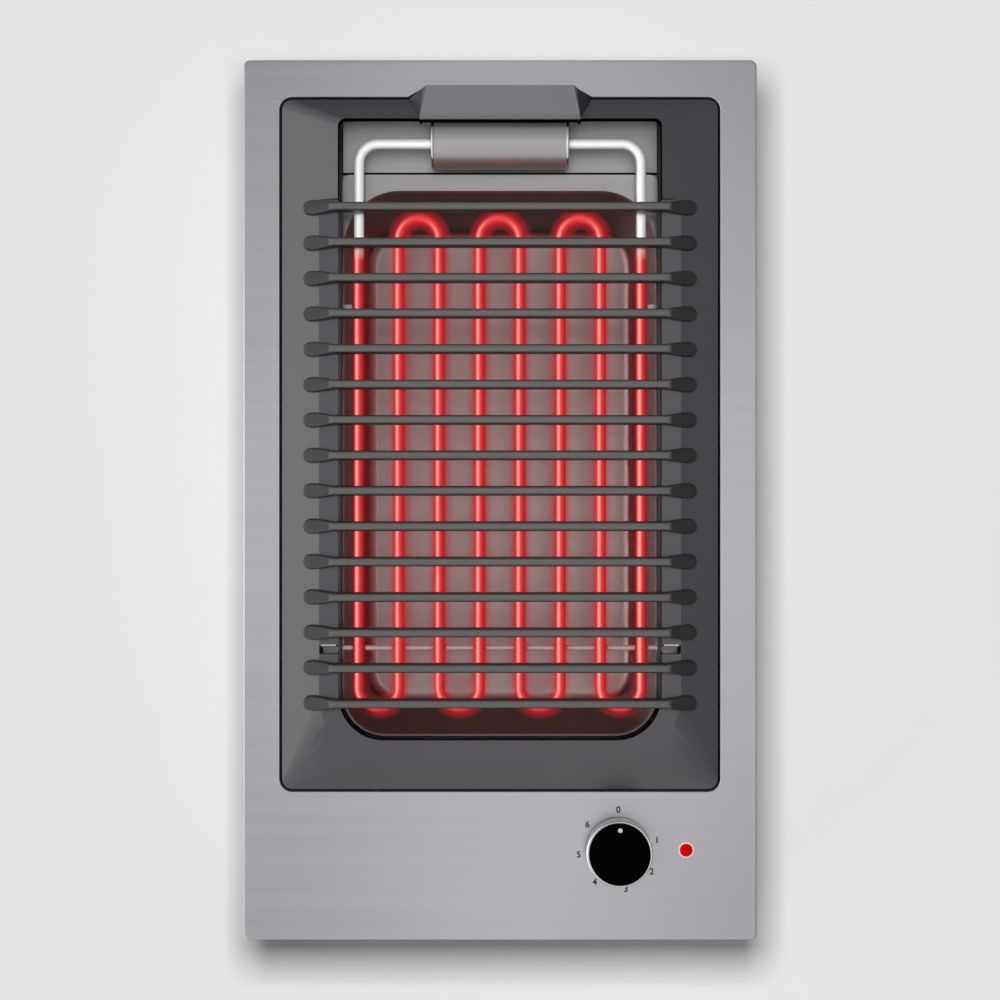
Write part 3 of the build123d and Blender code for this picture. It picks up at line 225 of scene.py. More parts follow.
def buildMottle():
    # cloudy variation with a fine speckle, for enamel, castings and handling marks
    group, start, end = newGroup(
        "mottle",
        [("Cloud", "NodeSocketFloat", 25.0), ("Speck", "NodeSocketFloat", 2200.0)],
        [("Cloud", "NodeSocketFloat"), ("Speck", "NodeSocketFloat")],
    )
    place = addNode(group, "ShaderNodeTexCoord")
    cloud = addNode(group, "ShaderNodeTexNoise", {"Detail": 4.0, "Roughness": 0.6})
    speck = addNode(group, "ShaderNodeTexNoise", {"Detail": 2.0, "Roughness": 0.5})
    for noise, name in ((cloud, "Cloud"), (speck, "Speck")):
        group.links.new(place.outputs["Object"], noise.inputs["Vector"])
        group.links.new(start.outputs[name], noise.inputs["Scale"])
        group.links.new(noise.outputs["Fac"], end.inputs[name])
    return group


def buildHeat():
    # where the element glows: not on its outer legs behind the heated length
    group, start, end = newGroup(
        "heatedLength",
        [
            ("Cold from", "NodeSocketFloat", 0.14),
            ("Fade", "NodeSocketFloat", 0.012),
            ("Leg from", "NodeSocketFloat", 0.076),
            ("Crossing from", "NodeSocketFloat", 0.19),
        ],
        [("Heat", "NodeSocketFloat")],
    )
    parts = placeParts(group)
    aside = reckon(group, "ABSOLUTE", parts["X"])
    onLeg = reckon(group, "GREATER_THAN", aside, start.outputs["Leg from"])
    past = reckon(group, "SUBTRACT", parts["Y"], start.outputs["Cold from"])
    share = reckon(group, "DIVIDE", past, start.outputs["Fade"], clamp=True)
    cold = reckon(group, "MULTIPLY", share, onLeg)
    behind = reckon(group, "GREATER_THAN", parts["Y"], start.outputs["Crossing from"])  # legs into the barrel
    coldest = reckon(group, "MAXIMUM", cold, behind)
    group.links.new(reckon(group, "SUBTRACT", 1.0, coldest), end.inputs["Heat"])
    return group


brushedGrain = buildGrain()
mottle = buildMottle()
heatedLength = buildHeat()
print("shared effects built")


# ---- finishes

def addBump(tree, surface, height, strength, distance):
    bump = addNode(tree, "ShaderNodeBump", {"Strength": strength, "Distance": distance})
    tree.links.new(height, bump.inputs["Height"])
    tree.links.new(bump.outputs["Normal"], surface.inputs["Normal"])


def byTilt(tree, uprightShadeColour, flatShade, fromTilt, toTilt):
    # painted shade: a darker colour where the surface stands steep, and the mask for it
    lying = spread(tree, placeParts(tree, "Normal")["Z"], {"From Min": fromTilt, "From Max": toTilt})
    return lying, mixShades(tree, lying, uprightShadeColour, flatShade)


def byHeight(tree, shade, highColour, fromHeight, fade=0.002):
    # another colour above a height
    high = spread(tree, placeParts(tree)["Z"], {"From Min": fromHeight, "From Max": fromHeight + fade})
    return mixShades(tree, high, shade, highColour)


def towardsCorners(tree, shade, corners):
    # painted shade: the sheet a little darker towards its four corners, where X times Y is large
    parts = placeParts(tree)
    away = reckon(tree, "ABSOLUTE", reckon(tree, "MULTIPLY", parts["X"], parts["Y"]))
    level = spread(tree, away, {
        "From Min": corners["from"], "From Max": corners["to"], "To Min": 1.0, "To Max": corners["tone"],
    })
    grey = addNode(tree, "ShaderNodeCombineColor")
    for channel in ("Red", "Green", "Blue"):
        tree.links.new(level, grey.inputs[channel])
    return mixShades(tree, 1.0, shade, grey.outputs["Color"], "MULTIPLY")


def brushedSteel(name, look):
    material, tree, surface = newMaterial(name, look["colour"], look["roughness"], look.get("metallic", 1.0))
    grain = useGroup(tree, brushedGrain, Across=look["across"], Along=look["along"])
    low, high = 1.0 - look["streak"], 1.0 + look["streak"]
    shade = tinted(tree, look["colour"], grain.outputs["Shade"], low, high)
    # painted shade on steep walls
    if "uprightShade" in look:
        shade = byTilt(tree, look["uprightShade"], shade, *look["tilt"])[1]
    if "flange" in look:
        shade = byHeight(tree, shade, look["flange"], look["flangeFrom"])
    # painted shade towards the corners
    if "corners" in look:
        shade = towardsCorners(tree, shade, look["corners"])
    tree.links.new(shade, surface.inputs["Base Color"])
    low, high = look["roughness"] * 0.9, look["roughness"] * 1.15
    rough = addRamp(tree, grain.outputs["Shade"], [(0.3, low), (0.7, high)])
    tree.links.new(rough, surface.inputs["Roughness"])
    addBump(tree, surface, grain.outputs["Height"], look["relief"], look.get("depth", 0.00004))
    return material


def coated(name, look):
    # enamel, plating, moulded plastic, rubber and castings
    material, tree, surface = newMaterial(name, look["colour"], look["roughness"], look.get("metallic", 0.0))
    surface.inputs["Coat Weight"].default_value = look.get("coat", 0.0)
    surface.inputs["Coat Roughness"].default_value = look.get("coatRoughness", 0.2)
    surface.inputs["Coat IOR"].default_value = look.get("coatIor", 1.5)
    surface.inputs["Specular IOR Level"].default_value = look.get("specular", 0.5)
    marks = useGroup(tree, mottle, Cloud=look["cloud"], Speck=look["speck"])
    shade = tinted(tree, look["colour"], marks.outputs["Cloud"], 1.0 - look["vary"], 1.0 + look["vary"])
    tree.links.new(shade, surface.inputs["Base Color"])
    low, high = look["roughness"] * 0.85, look["roughness"] * 1.15
    rough = addRamp(tree, marks.outputs["Cloud"], [(0.3, low), (0.7, high)])
    tree.links.new(rough, surface.inputs["Roughness"])
    addBump(tree, surface, marks.outputs["Speck"], look["relief"], look.get("depth", 0.00005))
    return material


def rubbed(name, look):
    # a coated finish with painted light, paler above a height as on a hood's roof or a bar's ridge, and
    # painted shade, darker where it stands steep or lies deep
    material = coated(name, look)
    tree = material.node_tree
    surface = tree.nodes["Principled BSDF"]
    shade = surface.inputs["Base Color"].links[0].from_socket
    height = placeParts(tree)["Z"]
    # painted shade: a near-black colour on steep faces and on all faces below a height, with no coat there
    if "uprightShade" in look:
        lying, shade = byTilt(tree, look["uprightShade"], shade, *look["tilt"])
        deepShadeTo, raisedFrom = look["deepShadeTo"], look["deepShadeTo"] + look["deepShadeFade"]
        raised = spread(tree, height, {"From Min": deepShadeTo, "From Max": raisedFrom})
        tree.links.new(reckon(tree, "MULTIPLY", lying, raised), surface.inputs["Coat Weight"])
        shade = mixShades(tree, raised, look["uprightShade"], shade)
    # painted light: paler above a height
    paintedLightMask = spread(tree, height, {"From Min": look["paintedLightFrom"], "From Max": look["paintedLightTo"]})
    tree.links.new(mixShades(tree, paintedLightMask, shade, look["paintedLightColour"]), surface.inputs["Base Color"])
    if "dullCoat" in look:
        coat = spread(tree, paintedLightMask, {"To Min": look["dullCoat"], "To Max": look["coat"]})
        tree.links.new(coat, surface.inputs["Coat Weight"])
    return material


def galvanised(name, look):
    # zinc flakes of slightly different brightness
    material, tree, surface = newMaterial(name, look["colour"], look["roughness"], 1.0)
    place = addNode(tree, "ShaderNodeTexCoord")
    flakes = addNode(tree, "ShaderNodeTexVoronoi", {"Scale": look["flake"]})
    tree.links.new(place.outputs["Object"], flakes.inputs["Vector"])
    shade = tinted(tree, look["colour"], flakes.outputs["Color"], look["darkest"], look["palest"])
    tree.links.new(shade, surface.inputs["Base Color"])
    rough = addRamp(tree, flakes.outputs["Color"], [(0.0, look["smoothest"]), (1.0, look["roughest"])])
    tree.links.new(rough, surface.inputs["Roughness"])
    return material


def woven(name, look):
    # braided glass sleeve or rock wool: two crossed waves and loose fibre
    material, tree, surface = newMaterial(name, look["colour"], 0.9)
    place = addNode(tree, "ShaderNodeTexCoord")
    heights = []
    for turn in (0.7, -0.7):
        aim = addNode(tree, "ShaderNodeMapping", {"Rotation": (turn, turn, turn)})
        strands = addNode(tree, "ShaderNodeTexWave", {"Scale": look["strand"], "Distortion": look["loose"]})
        tree.links.new(place.outputs["Object"], aim.inputs["Vector"])
        tree.links.new(aim.outputs["Vector"], strands.inputs["Vector"])
        heights.append(strands.outputs["Fac"])
    cross = reckon(tree, "MAXIMUM", *heights)
    tree.links.new(tinted(tree, look["colour"], cross, 0.7, 1.1), surface.inputs["Base Color"])
    addBump(tree, surface, cross, look["relief"], look["depth"])
    return material


def glowing(name, look):
    # sheath that is bare metal where it is cold and lights up where it is hot, with a painted highlight along
    # one side of each run
    material, tree, surface = newMaterial(name, look["cold"], look["roughness"], look["metallic"])
    heat = useGroup(tree, heatedLength).outputs["Heat"]
    place = addNode(tree, "ShaderNodeTexCoord")
    # painted highlight: the glow is palest where the surface faces the chosen side
    highlightLean = addNode(tree, "ShaderNodeVectorMath", operation="DOT_PRODUCT")
    highlightLean.inputs[1].default_value = look["paintedHighlightSide"]
    tree.links.new(place.outputs["Normal"], highlightLean.inputs[0])
    colours = addRamp(tree, highlightLean.outputs["Value"], look["stops"], "LINEAR")
    marks = useGroup(tree, mottle, Cloud=90.0, Speck=1500.0)
    flicker = addRamp(tree, marks.outputs["Cloud"], [(0.2, 0.85), (0.8, 1.0)])
    lit = mixShades(tree, heat, black, mixShades(tree, 1.0, colours, flicker, "MULTIPLY"))
    cast = mixShades(tree, heat, black, look["cast"])  # the light it throws, apart from how it looks
    rays = addNode(tree, "ShaderNodeLightPath")
    seen = mixShades(tree, rays.outputs["Is Camera Ray"], cast, lit)
    tree.links.new(seen, surface.inputs["Emission Color"])
    surface.inputs["Emission Strength"].default_value = look["strength"]
    tree.links.new(mixShades(tree, heat, look["cold"], look["hot"]), surface.inputs["Base Color"])
    rough = addRamp(tree, heat, [(0.0, look["roughness"]), (1.0, look["hotRoughness"])])
    tree.links.new(rough, surface.inputs["Roughness"])
    addBump(tree, surface, marks.outputs["Speck"], look["relief"], look["depth"])
    return material


finishes = {
    # painted shade: the plate darker towards its corners
    "brushed_plate": brushedSteel("brushedPlate", {
        "colour": (0.515, 0.503, 0.534), "roughness": 0.33, "across": 1400.0, "along": 9.0,
        "streak": 0.10, "relief": 0.16, "corners": {"from": 0.006, "to": 0.034, "tone": 0.84},
    }),
    "plain_steel": brushedSteel("plainSteel", {
        "colour": (0.46, 0.46, 0.47), "roughness": 0.32, "across": 700.0, "along": 14.0,
        "streak": 0.05, "relief": 0.08,
    }),
    "polished_steel": brushedSteel("polishedSteel", {
        "colour": (0.40, 0.40, 0.40), "roughness": 0.40, "across": 900.0, "along": 6.0,
        "streak": 0.06, "relief": 0.05, "metallic": 0.85,
    }),
    # painted light: the tray's steel tinted red as by the hot element's glow, with painted shade on its steep
    # walls; above the flange height it keeps a plain grey
    "tray_steel": brushedSteel("glowTintedTraySteel", {
        "colour": (0.45, 0.375, 0.375), "roughness": 0.30, "across": 700.0, "along": 10.0,
        "streak": 0.10, "relief": 0.06, "uprightShade": (0.235, 0.25, 0.25), "tilt": (0.36, 0.72),
        "flange": (0.41, 0.41, 0.41), "flangeFrom": 0.0855,
    }),
    "knob_metal": brushedSteel("knobMetal", {
        "colour": (0.62, 0.62, 0.63), "roughness": 0.22, "across": 2000.0, "along": 60.0,
        "streak": 0.05, "relief": 0.05,
    }),
    # painted shade: near black on steep and deep faces; painted light: paler on the hood's raised roof
    "enamel": rubbed("greyEnamel", {
        "colour": (0.036, 0.033, 0.040), "roughness": 0.42, "coat": 1.0, "coatRoughness": 0.32,
        "cloud": 18.0, "speck": 2600.0, "vary": 0.04, "relief": 0.06,
        "specular": 0.0, "coatIor": 1.72, "paintedLightFrom": 0.1108, "paintedLightTo": 0.1115,
        "paintedLightColour": (0.095, 0.094, 0.104), "uprightShade": (0.004, 0.004, 0.0045), "tilt": (0.45, 0.72),
        "deepShadeTo": 0.0984, "deepShadeFade": 0.0006,
    }),
    # painted highlight: paler along the bars' ridges
    "grid_iron": rubbed("gridIron", {
        "colour": (0.018, 0.017, 0.018), "roughness": 0.45, "coat": 1.0, "coatRoughness": 0.3,
        "specular": 0.25, "cloud": 60.0, "speck": 1300.0, "vary": 0.10, "relief": 0.25, "depth": 0.00008,
        "paintedLightFrom": 0.1140, "paintedLightTo": 0.11495, "paintedLightColour": (0.075, 0.073, 0.072), "dullCoat": 0.25,
    }),
    # painted highlight: the glow palest on the side the runs turn towards, up and to the left
    "element_sheath": glowing("elementSheath", {
        "cold": (0.90, 0.90, 0.90), "hot": (0.06, 0.008, 0.008), "roughness": 0.35, "strength": 1.0,
        "metallic": 0.35, "paintedHighlightSide": (-0.4, 0.0, 0.916),
        "stops": [(0.0, (0.20, 0.008, 0.010)), (0.45, (0.40, 0.014, 0.014)), (0.78, (0.64, 0.030, 0.034)),
                  (0.92, (0.82, 0.08, 0.08)), (1.0, (1.0, 0.42, 0.35))],
        "cast": (0.34, 0.02, 0.022), "hotRoughness": 0.6, "relief": 0.1, "depth": 0.00005,
    }),
    "seal": coated("sealFoam", {
        "colour": (0.03, 0.03, 0.03), "roughness": 0.9, "cloud": 80.0, "speck": 900.0,
        "vary": 0.2, "relief": 0.5, "depth": 0.0003,
    }),
    "gasket": coated("fibreGasket", {
        "colour": (0.30, 0.28, 0.26), "roughness": 0.9, "cloud": 120.0, "speck": 1500.0,
        "vary": 0.15, "relief": 0.4,
    }),
    "plated_steel": coated("zincPlated", {
        "colour": (0.60, 0.59, 0.55), "roughness": 0.3, "metallic": 1.0, "cloud": 200.0,
        "speck": 2500.0, "vary": 0.08, "relief": 0.08,
    }),
    "clamp_iron": coated("clampPlating", {
        "colour": (0.42, 0.41, 0.38), "roughness": 0.38, "metallic": 1.0, "cloud": 120.0,
        "speck": 1800.0, "vary": 0.1, "relief": 0.12,
    }),
    "plated_sheet": galvanised("galvanisedSheet", {
        "colour": (0.50, 0.51, 0.52), "roughness": 0.4, "flake": 110.0, "darkest": 0.8, "palest": 1.15,
        "smoothest": 0.3, "roughest": 0.5,
    }),
    "ceramic": coated("glazedCeramic", {
        "colour": (0.78, 0.75, 0.68), "roughness": 0.25, "coat": 0.5, "cloud": 80.0, "speck": 1200.0,
        "vary": 0.05, "relief": 0.08,
    }),
    "regulator_case": coated("regulatorCase", {
        "colour": (0.05, 0.05, 0.055), "roughness": 0.5, "cloud": 60.0, "speck": 1800.0,
        "vary": 0.1, "relief": 0.2,
    }),
    "lamp_body": coated("lampBody", {
        "colour": (0.75, 0.74, 0.68), "roughness": 0.4, "cloud": 90.0, "speck": 1800.0,
        "vary": 0.04, "relief": 0.1,
    }),
    "lamp_ring": coated("lampRing", {
        "colour": (0.80, 0.62, 0.60), "roughness": 0.3, "coat": 0.4, "cloud": 200.0, "speck": 2500.0,
        "vary": 0.03, "relief": 0.04,
    }),
    "black_plastic": coated("glandPlastic", {
        "colour": (0.018, 0.018, 0.019), "roughness": 0.5, "cloud": 80.0, "speck": 1500.0,
        "vary": 0.1, "relief": 0.25,
    }),
    "block_plastic": coated("blockPlastic", {
        "colour": (0.72, 0.69, 0.60), "roughness": 0.55, "cloud": 80.0, "speck": 1500.0,
        "vary": 0.05, "relief": 0.15,
    }),
    "brass_part": coated("turnedBrass", {
        "colour": (0.58, 0.42, 0.16), "roughness": 0.28, "metallic": 1.0, "cloud": 150.0, "speck": 2400.0,
        "vary": 0.08, "relief": 0.08,
    }),
    "knob_black": coated("knobBlack", {
        "colour": (0.0015, 0.0015, 0.0015), "roughness": 0.6, "cloud": 60.0, "speck": 3000.0,
        "vary": 0.1, "relief": 0.05, "specular": 0.0,
    }),
    "pointer_white": coated("pointerWhite", {
        "colour": (0.55, 0.55, 0.56), "roughness": 0.5, "cloud": 60.0, "speck": 2000.0,
        "vary": 0.02, "relief": 0.02,
    }),
    "lead_sleeve": woven("leadSleeve", {
        "colour": (0.62, 0.58, 0.48), "strand": 900.0, "loose": 1.0, "relief": 0.6, "depth": 0.0003,
    }),
    "wool": woven("rockWool", {
        "colour": (0.50, 0.42, 0.25), "strand": 160.0, "loose": 12.0, "relief": 0.6, "depth": 0.0003,
    }),
}

lampGlow, lampTree, lampSurface = newMaterial("lampRed", (0.40, 0.0005, 0.0005), 0.3)
lampSurface.inputs["Specular IOR Level"].default_value = 0.1
lampSurface.inputs["Emission Color"].default_value = (0.60, 0.0, 0.0, 1.0)
lampSurface.inputs["Emission Strength"].default_value = 0.3
lampMarks = useGroup(lampTree, mottle, Cloud=300.0, Speck=900.0)
addBump(lampTree, lampSurface, lampMarks.outputs["Speck"], 0.1, 0.0001)
finishes["lamp_red"] = lampGlow

# painted light: a brighter copy of the plain steel for the sheet under the grid
litShelfSteel = brushedSteel("litShelfSteel", {
    "colour": (0.40, 0.40, 0.40), "roughness": 0.36, "across": 700.0, "along": 12.0,
    "streak": 0.2, "relief": 0.10, "metallic": 0.75,
})
# painted light: the support rod's copy of the steel, tinted red as by the hot element's glow
glowTintedRodSteel = brushedSteel("glowTintedRodSteel", {
    "colour": (0.44, 0.36, 0.35), "roughness": 0.4, "across": 300.0, "along": 60.0,
    "streak": 0.03, "relief": 0.03, "metallic": 0.3,
})
ownFinish = {"hinge_shelf": litShelfSteel, "support_rod": glowTintedRodSteel}

slotOf = {entry["node"]: entry["material_slot"] for entry in frame["record"]["subparts"]}
for nodeName, nodeObject in nodes.items():
    for materialSlot in nodeObject.material_slots:
        materialSlot.material = ownFinish.get(nodeName, finishes[slotOf[nodeName]])
print("finishes given to", len(nodes), "nodes")


def bodyOf(nodeName):
    bodies = frame["record"]["behaviour"]["bodies"]
    return next(name for name, held in bodies.items() if nodeName in held)


# ---- pieces with softened edges in place of the sharp solids

def softened(nodeName, edge):
    # a merged copy of the solid with its sharp edges rounded over
    mesh = nodes[nodeName].data.copy()
    mesh.name = nodeName + "Soft"
    work = bmesh.new()
    work.from_mesh(mesh)
    bmesh.ops.remove_doubles(work, verts=work.verts, dist=weldDistance)
    bmesh.ops.dissolve_limit(work, angle_limit=math.radians(edge["flat"]), verts=work.verts, edges=work.edges)
    least = math.radians(edge["angle"])
    sharp = [e for e in work.edges if len(e.link_faces) == 2 and e.calc_face_angle(0.0) > least]
    if "keep" in edge:
        sharp = [e for e in sharp if edge["keep"](e)]
    roundOver(work, sharp, edge["width"], edge["segments"], clamp=True)
    work.to_mesh(mesh)
    work.free()
    smoothed(mesh, edge["smooth"])
    piece = bpy.data.objects.new(nodeName + "Soft", mesh)
    bpy.context.scene.collection.objects.link(piece)
    evenShade = piece.modifiers.new("evenShade", "WEIGHTED_NORMAL")
    evenShade.keep_sharp = True
    for slotIndex in range(len(mesh.materials)):
        mesh.materials[slotIndex] = finishes[slotOf[nodeName]]
    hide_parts(nodeName)
    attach(piece, bodyOf(nodeName))


openingBox = {"under": 0.0002, "aside": 0.135, "front": -0.185, "rear": 0.245}


def roundOpening(e):
    # only the plate's upper edge along the opening
    middle = (e.verts[0].co + e.verts[1].co) / 2
    inside = abs(middle.x) < openingBox["aside"] and openingBox["front"] < middle.y < openingBox["rear"]
    return inside and middle.z > plateTop - openingBox["under"]


softEdges = {
    "pan_frame": {"width": 0.0007, "segments": 3, "angle": 12.0, "smooth": 25.0, "flat": 0.6},
    "top_plate": {
        "width": 0.0007, "segments": 3, "angle": 40.0, "smooth": 30.0, "flat": 0.6, "keep": roundOpening,
    },
    "drip_tray": {"width": 0.0004, "segments": 3, "angle": 30.0, "smooth": 40.0, "flat": 0.6},
}
for nodeName, edge in softEdges.items():
    softened(nodeName, edge)
print("edges softened")


# ---- the grid's bars, with rounded ridges that broaden into the noses

gridBars = {
    "count": 15, "first": 0.1696, "last": -0.11785, "flare": 0.0004, "steps": 6, "ridgeShare": 0.7,
    "railInner": 0.0919, "railOuter": 0.0935, "railLow": 0.101, "railHigh": 0.108, "railShort": 0.0022,
    "railRound": 0.0004, "sharpFrom": 50.0,
}
# along a bar: distance from the middle, half width, flat half width, rounding, top and bottom height
barStations = [
    (0.0000, 0.0025, 0.0007, 0.0018, 0.1150, 0.1070), (0.0965, 0.0025, 0.0007, 0.0018, 0.1150, 0.1070),
    (0.0975, 0.0027, 0.0012, 0.0014, 0.1148, 0.1070), (0.0992, 0.0030, 0.0020, 0.0009, 0.1141, 0.1070),
    (0.1015, 0.0034, 0.0026, 0.0008, 0.1131, 0.1070), (0.1045, 0.0038, 0.0030, 0.0008, 0.1118, 0.1070),
    (0.1075, 0.0041, 0.0032, 0.0008, 0.1106, 0.1066), (0.1100, 0.0041, 0.0031, 0.0008, 0.1096, 0.1058),
    (0.1120, 0.0036, 0.0026, 0.0008, 0.1088, 0.1052), (0.1133, 0.0026, 0.0016, 0.0008, 0.1082, 0.1048),
    (0.1140, 0.0012, 0.0005, 0.0006, 0.1078, 0.1046),
]


def setRing(ring, barPlace, side, station):
    # place one cross-section: over the ridge from one foot to the other
    along, half, flat, rounding, high, low = station
    steps = gridBars["steps"]
    for number, vert in enumerate(ring):
        edge = -1.0 if number < steps else 1.0
        step = steps - 1 - number if number < steps else number - steps
        if step == steps - 1:
            reachOut, height = half + gridBars["flare"], low
        else:
            turn = math.radians(90.0) * step / (steps - 2)
            reachOut = half - rounding + rounding * math.sin(turn) if step else flat
            height = high - min(rounding, gridBars["ridgeShare"] * (high - low)) * (1.0 - math.cos(turn))
        vert.co = Vector((side * along, barPlace + edge * reachOut, height))


def addBar(work, barPlace):
    stations = [(-1.0, station) for station in reversed(barStations)]
    stations += [(1.0, station) for station in barStations[1:]]
    ring = [work.verts.new() for number in range(2 * gridBars["steps"])]
    edges = [work.edges.new(pair) for pair in zip(ring, ring[1:] + ring[:1])]
    setRing(ring, barPlace, *stations[0])
    work.faces.new(ring)
    for side, station in stations[1:]:
        grown = bmesh.ops.extrude_edge_only(work, edges=edges)["geom"]
        edges = [item for item in grown if isinstance(item, bmesh.types.BMEdge)]
        following = {vert for edge in edges for vert in edge.verts}
        ring = [
            next(e.other_vert(vert) for e in vert.link_edges if e.other_vert(vert) in following)
            for vert in ring
        ]
        setRing(ring, barPlace, side, station)
    work.faces.new(ring)


barWork = bmesh.new()
barSpan = gridBars["first"] - gridBars["last"]
for barNumber in range(gridBars["count"]):
    addBar(barWork, gridBars["first"] - barSpan / (gridBars["count"] - 1) * barNumber)
railSize = (
    gridBars["railOuter"] - gridBars["railInner"], barSpan - gridBars["railShort"],
    gridBars["railHigh"] - gridBars["railLow"],
)
for side in (-1.0, 1.0):
    railMiddle = Vector((
        side * (gridBars["railOuter"] + gridBars["railInner"]) / 2,
        (gridBars["first"] + gridBars["last"] + gridBars["railShort"]) / 2,
        (gridBars["railHigh"] + gridBars["railLow"]) / 2,
    ))
    addRoundedBox(barWork, railSize, railMiddle, gridBars["railRound"])
bmesh.ops.recalc_face_normals(barWork, faces=barWork.faces)
barPiece = newPiece("gridBars", barWork, finishes["grid_iron"])
smoothed(barPiece.data, gridBars["sharpFrom"])
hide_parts("grill_grid")
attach(barPiece, "grid")
print("grid built:", len(barPiece.data.polygons), "faces")


# ---- collars at the ends of the hinge's barrel

collars = {
    "reach": 0.0150, "proud": 0.0004, "sunk": 0.0012, "lap": 0.0002, "wide": 0.0015, "round": 0.0005,
    "around": 72, "weld": 0.000005, "sharpFrom": 50.0,
}
barrelLow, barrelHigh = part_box("hinge_barrel")
barrelAxis = Vector((0.0, (barrelLow[1] + barrelHigh[1]) / 2, (barrelLow[2] + barrelHigh[2]) / 2))
collarLine = (
    (0.0, collars["reach"] - collars["sunk"]), (0.0, collars["reach"] + collars["proud"]),
    (collars["wide"], collars["reach"] + collars["proud"]),
    (collars["wide"], collars["reach"] - collars["lap"]),
)
collarWork = bmesh.new()
for side, end in ((-1.0, barrelLow[0]), (1.0, barrelHigh[0])):
    section = [
        collarWork.verts.new((end - side * along, barrelAxis.y, barrelAxis.z + radius))
        for along, radius in collarLine
    ]
    for pair in zip(section, section[1:]):
        collarWork.edges.new(pair)
    softCorners = roundOver(collarWork, section[1:3], collars["round"], 3, affect="VERTICES")
    ends = softCorners["verts"] + [section[0], section[3]]
    line = list({edge for vert in ends for edge in vert.link_edges})
    bmesh.ops.spin(
        collarWork, geom=line + list({vert for edge in line for vert in edge.verts}), cent=barrelAxis,
        axis=(1.0, 0.0, 0.0), angle=math.tau, steps=collars["around"], use_merge=True,
    )
bmesh.ops.remove_doubles(collarWork, verts=collarWork.verts, dist=collars["weld"])
bmesh.ops.recalc_face_normals(collarWork, faces=collarWork.faces)
collarPiece = newPiece("barrelCollars", collarWork, finishes["knob_metal"])
smoothed(collarPiece.data, collars["sharpFrom"])
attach(collarPiece, bodyOf("hinge_barrel"))
print("collars built")


# ---- painted shade: dark strips where shadow falls under the hood's front edge and behind the tray

shadeStripFinish = coated("shadeStripBlack", {
    "colour": (0.0015, 0.0015, 0.0015), "roughness": 0.9, "specular": 0.0, "cloud": 60.0, "speck": 900.0,
    "vary": 0.1, "relief": 0.2,
})
shadeStrips = {
    "hoodShadeStrip": {
        "beside": "pan_frame", "slot": "seal", "size": (0.0905, 0.0014, 0.0020),
        "middle": (0.0, 0.2194, 0.1094), "round": 0.0003, "sharpFrom": 40.0,
    },
    "trayShadeStrip": {
        "beside": "drip_tray", "slot": "seal", "size": (0.1850, 0.0013, 0.0018),
        "middle": (0.0, 0.19245, 0.0880), "round": 0.0003, "sharpFrom": 40.0,
    },
}
for stripName, strip in shadeStrips.items():
    stripWork = bmesh.new()
    addRoundedBox(stripWork, strip["size"], strip["middle"], strip["round"])
    stripPiece = newPiece(stripName, stripWork, shadeStripFinish)
    smoothed(stripPiece.data, strip["sharpFrom"])
    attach(stripPiece, bodyOf(strip["beside"]))
print("seams filled")


# ---- painted glow round the hot runs, as thin shells that each let most light through

paintedHalo = {
    "reach": (0.0006, 0.0014, 0.0024, 0.0037), "colour": (0.80, 0.030, 0.045), "alpha": 0.058,
    "legAlpha": 0.018, "legFrom": 0.070, "leg": 0.080, "coldFrom": 0.150, "rearMost": 0.172,
}
haloFinish, haloTree, haloSurface = newMaterial("hotGlow", black, 1.0)
haloSurface.inputs["Specular IOR Level"].default_value = 0.0
haloSurface.inputs["Emission Color"].default_value = (*paintedHalo["colour"], 1.0)
haloSurface.inputs["Emission Strength"].default_value = 1.0
haloHeat = useGroup(haloTree, heatedLength).outputs["Heat"]
haloAside = reckon(haloTree, "ABSOLUTE", placeParts(haloTree)["X"])
haloLevel = spread(haloTree, haloAside, {
    "From Min": paintedHalo["legFrom"], "From Max": paintedHalo["leg"], "To Min": paintedHalo["alpha"], "To Max": paintedHalo["legAlpha"],
})
haloTree.links.new(reckon(haloTree, "MULTIPLY", haloHeat, haloLevel), haloSurface.inputs["Alpha"])


def isCold(face):
    # the legs' rear part and whatever lies behind the last turns
    middle = face.calc_center_median()
    return middle.y > paintedHalo["coldFrom"] and (abs(middle.x) > paintedHalo["leg"] or middle.y > paintedHalo["rearMost"])


haloWork = bmesh.new()
for reach in paintedHalo["reach"]:
    shell = bmesh.new()
    shell.from_mesh(nodes["heating_element"].data)
    bmesh.ops.remove_doubles(shell, verts=shell.verts, dist=weldDistance)
    bmesh.ops.bisect_plane(
        shell, geom=list(shell.verts) + list(shell.edges) + list(shell.faces), dist=0.000001,
        plane_co=(0.0, paintedHalo["coldFrom"], 0.0), plane_no=(0.0, 1.0, 0.0),
    )
    bmesh.ops.delete(shell, geom=[face for face in shell.faces if isCold(face)], context="FACES")
    shell.normal_update()
    for vert in shell.verts:
        vert.co += vert.normal * reach
    shellMesh = bpy.data.meshes.new("haloShell")
    shell.to_mesh(shellMesh)
    shell.free()
    haloWork.from_mesh(shellMesh)
    bpy.data.meshes.remove(shellMesh)
for face in haloWork.faces:
    face.material_index = 0
haloPiece = newPiece("hotGlow", haloWork, haloFinish)
smoothed(haloPiece.data)
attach(haloPiece, bodyOf("heating_element"))
print("glow built:", len(haloPiece.data.polygons), "faces")


# ---- printed figures round the knob

dialPrint = {
    "radius": 0.0233, "height": 0.0036, "capShare": 0.7, "bold": 0.00014, "lift": 0.00003,
    "ink": (0.012, 0.012, 0.012), "turns": (0.0, 76.0, 123.0, 169.0, 216.0, 263.0, 309.4),
}

inkBlack, inkTree, inkSurface = newMaterial("dialInk", dialPrint["ink"], 0.6)
inkMarks = useGroup(inkTree, mottle, Cloud=900.0, Speck=4000.0)
inkShade = tinted(inkTree, dialPrint["ink"], inkMarks.outputs["Cloud"], 0.7, 1.3)
inkTree.links.new(inkShade, inkSurface.inputs["Base Color"])

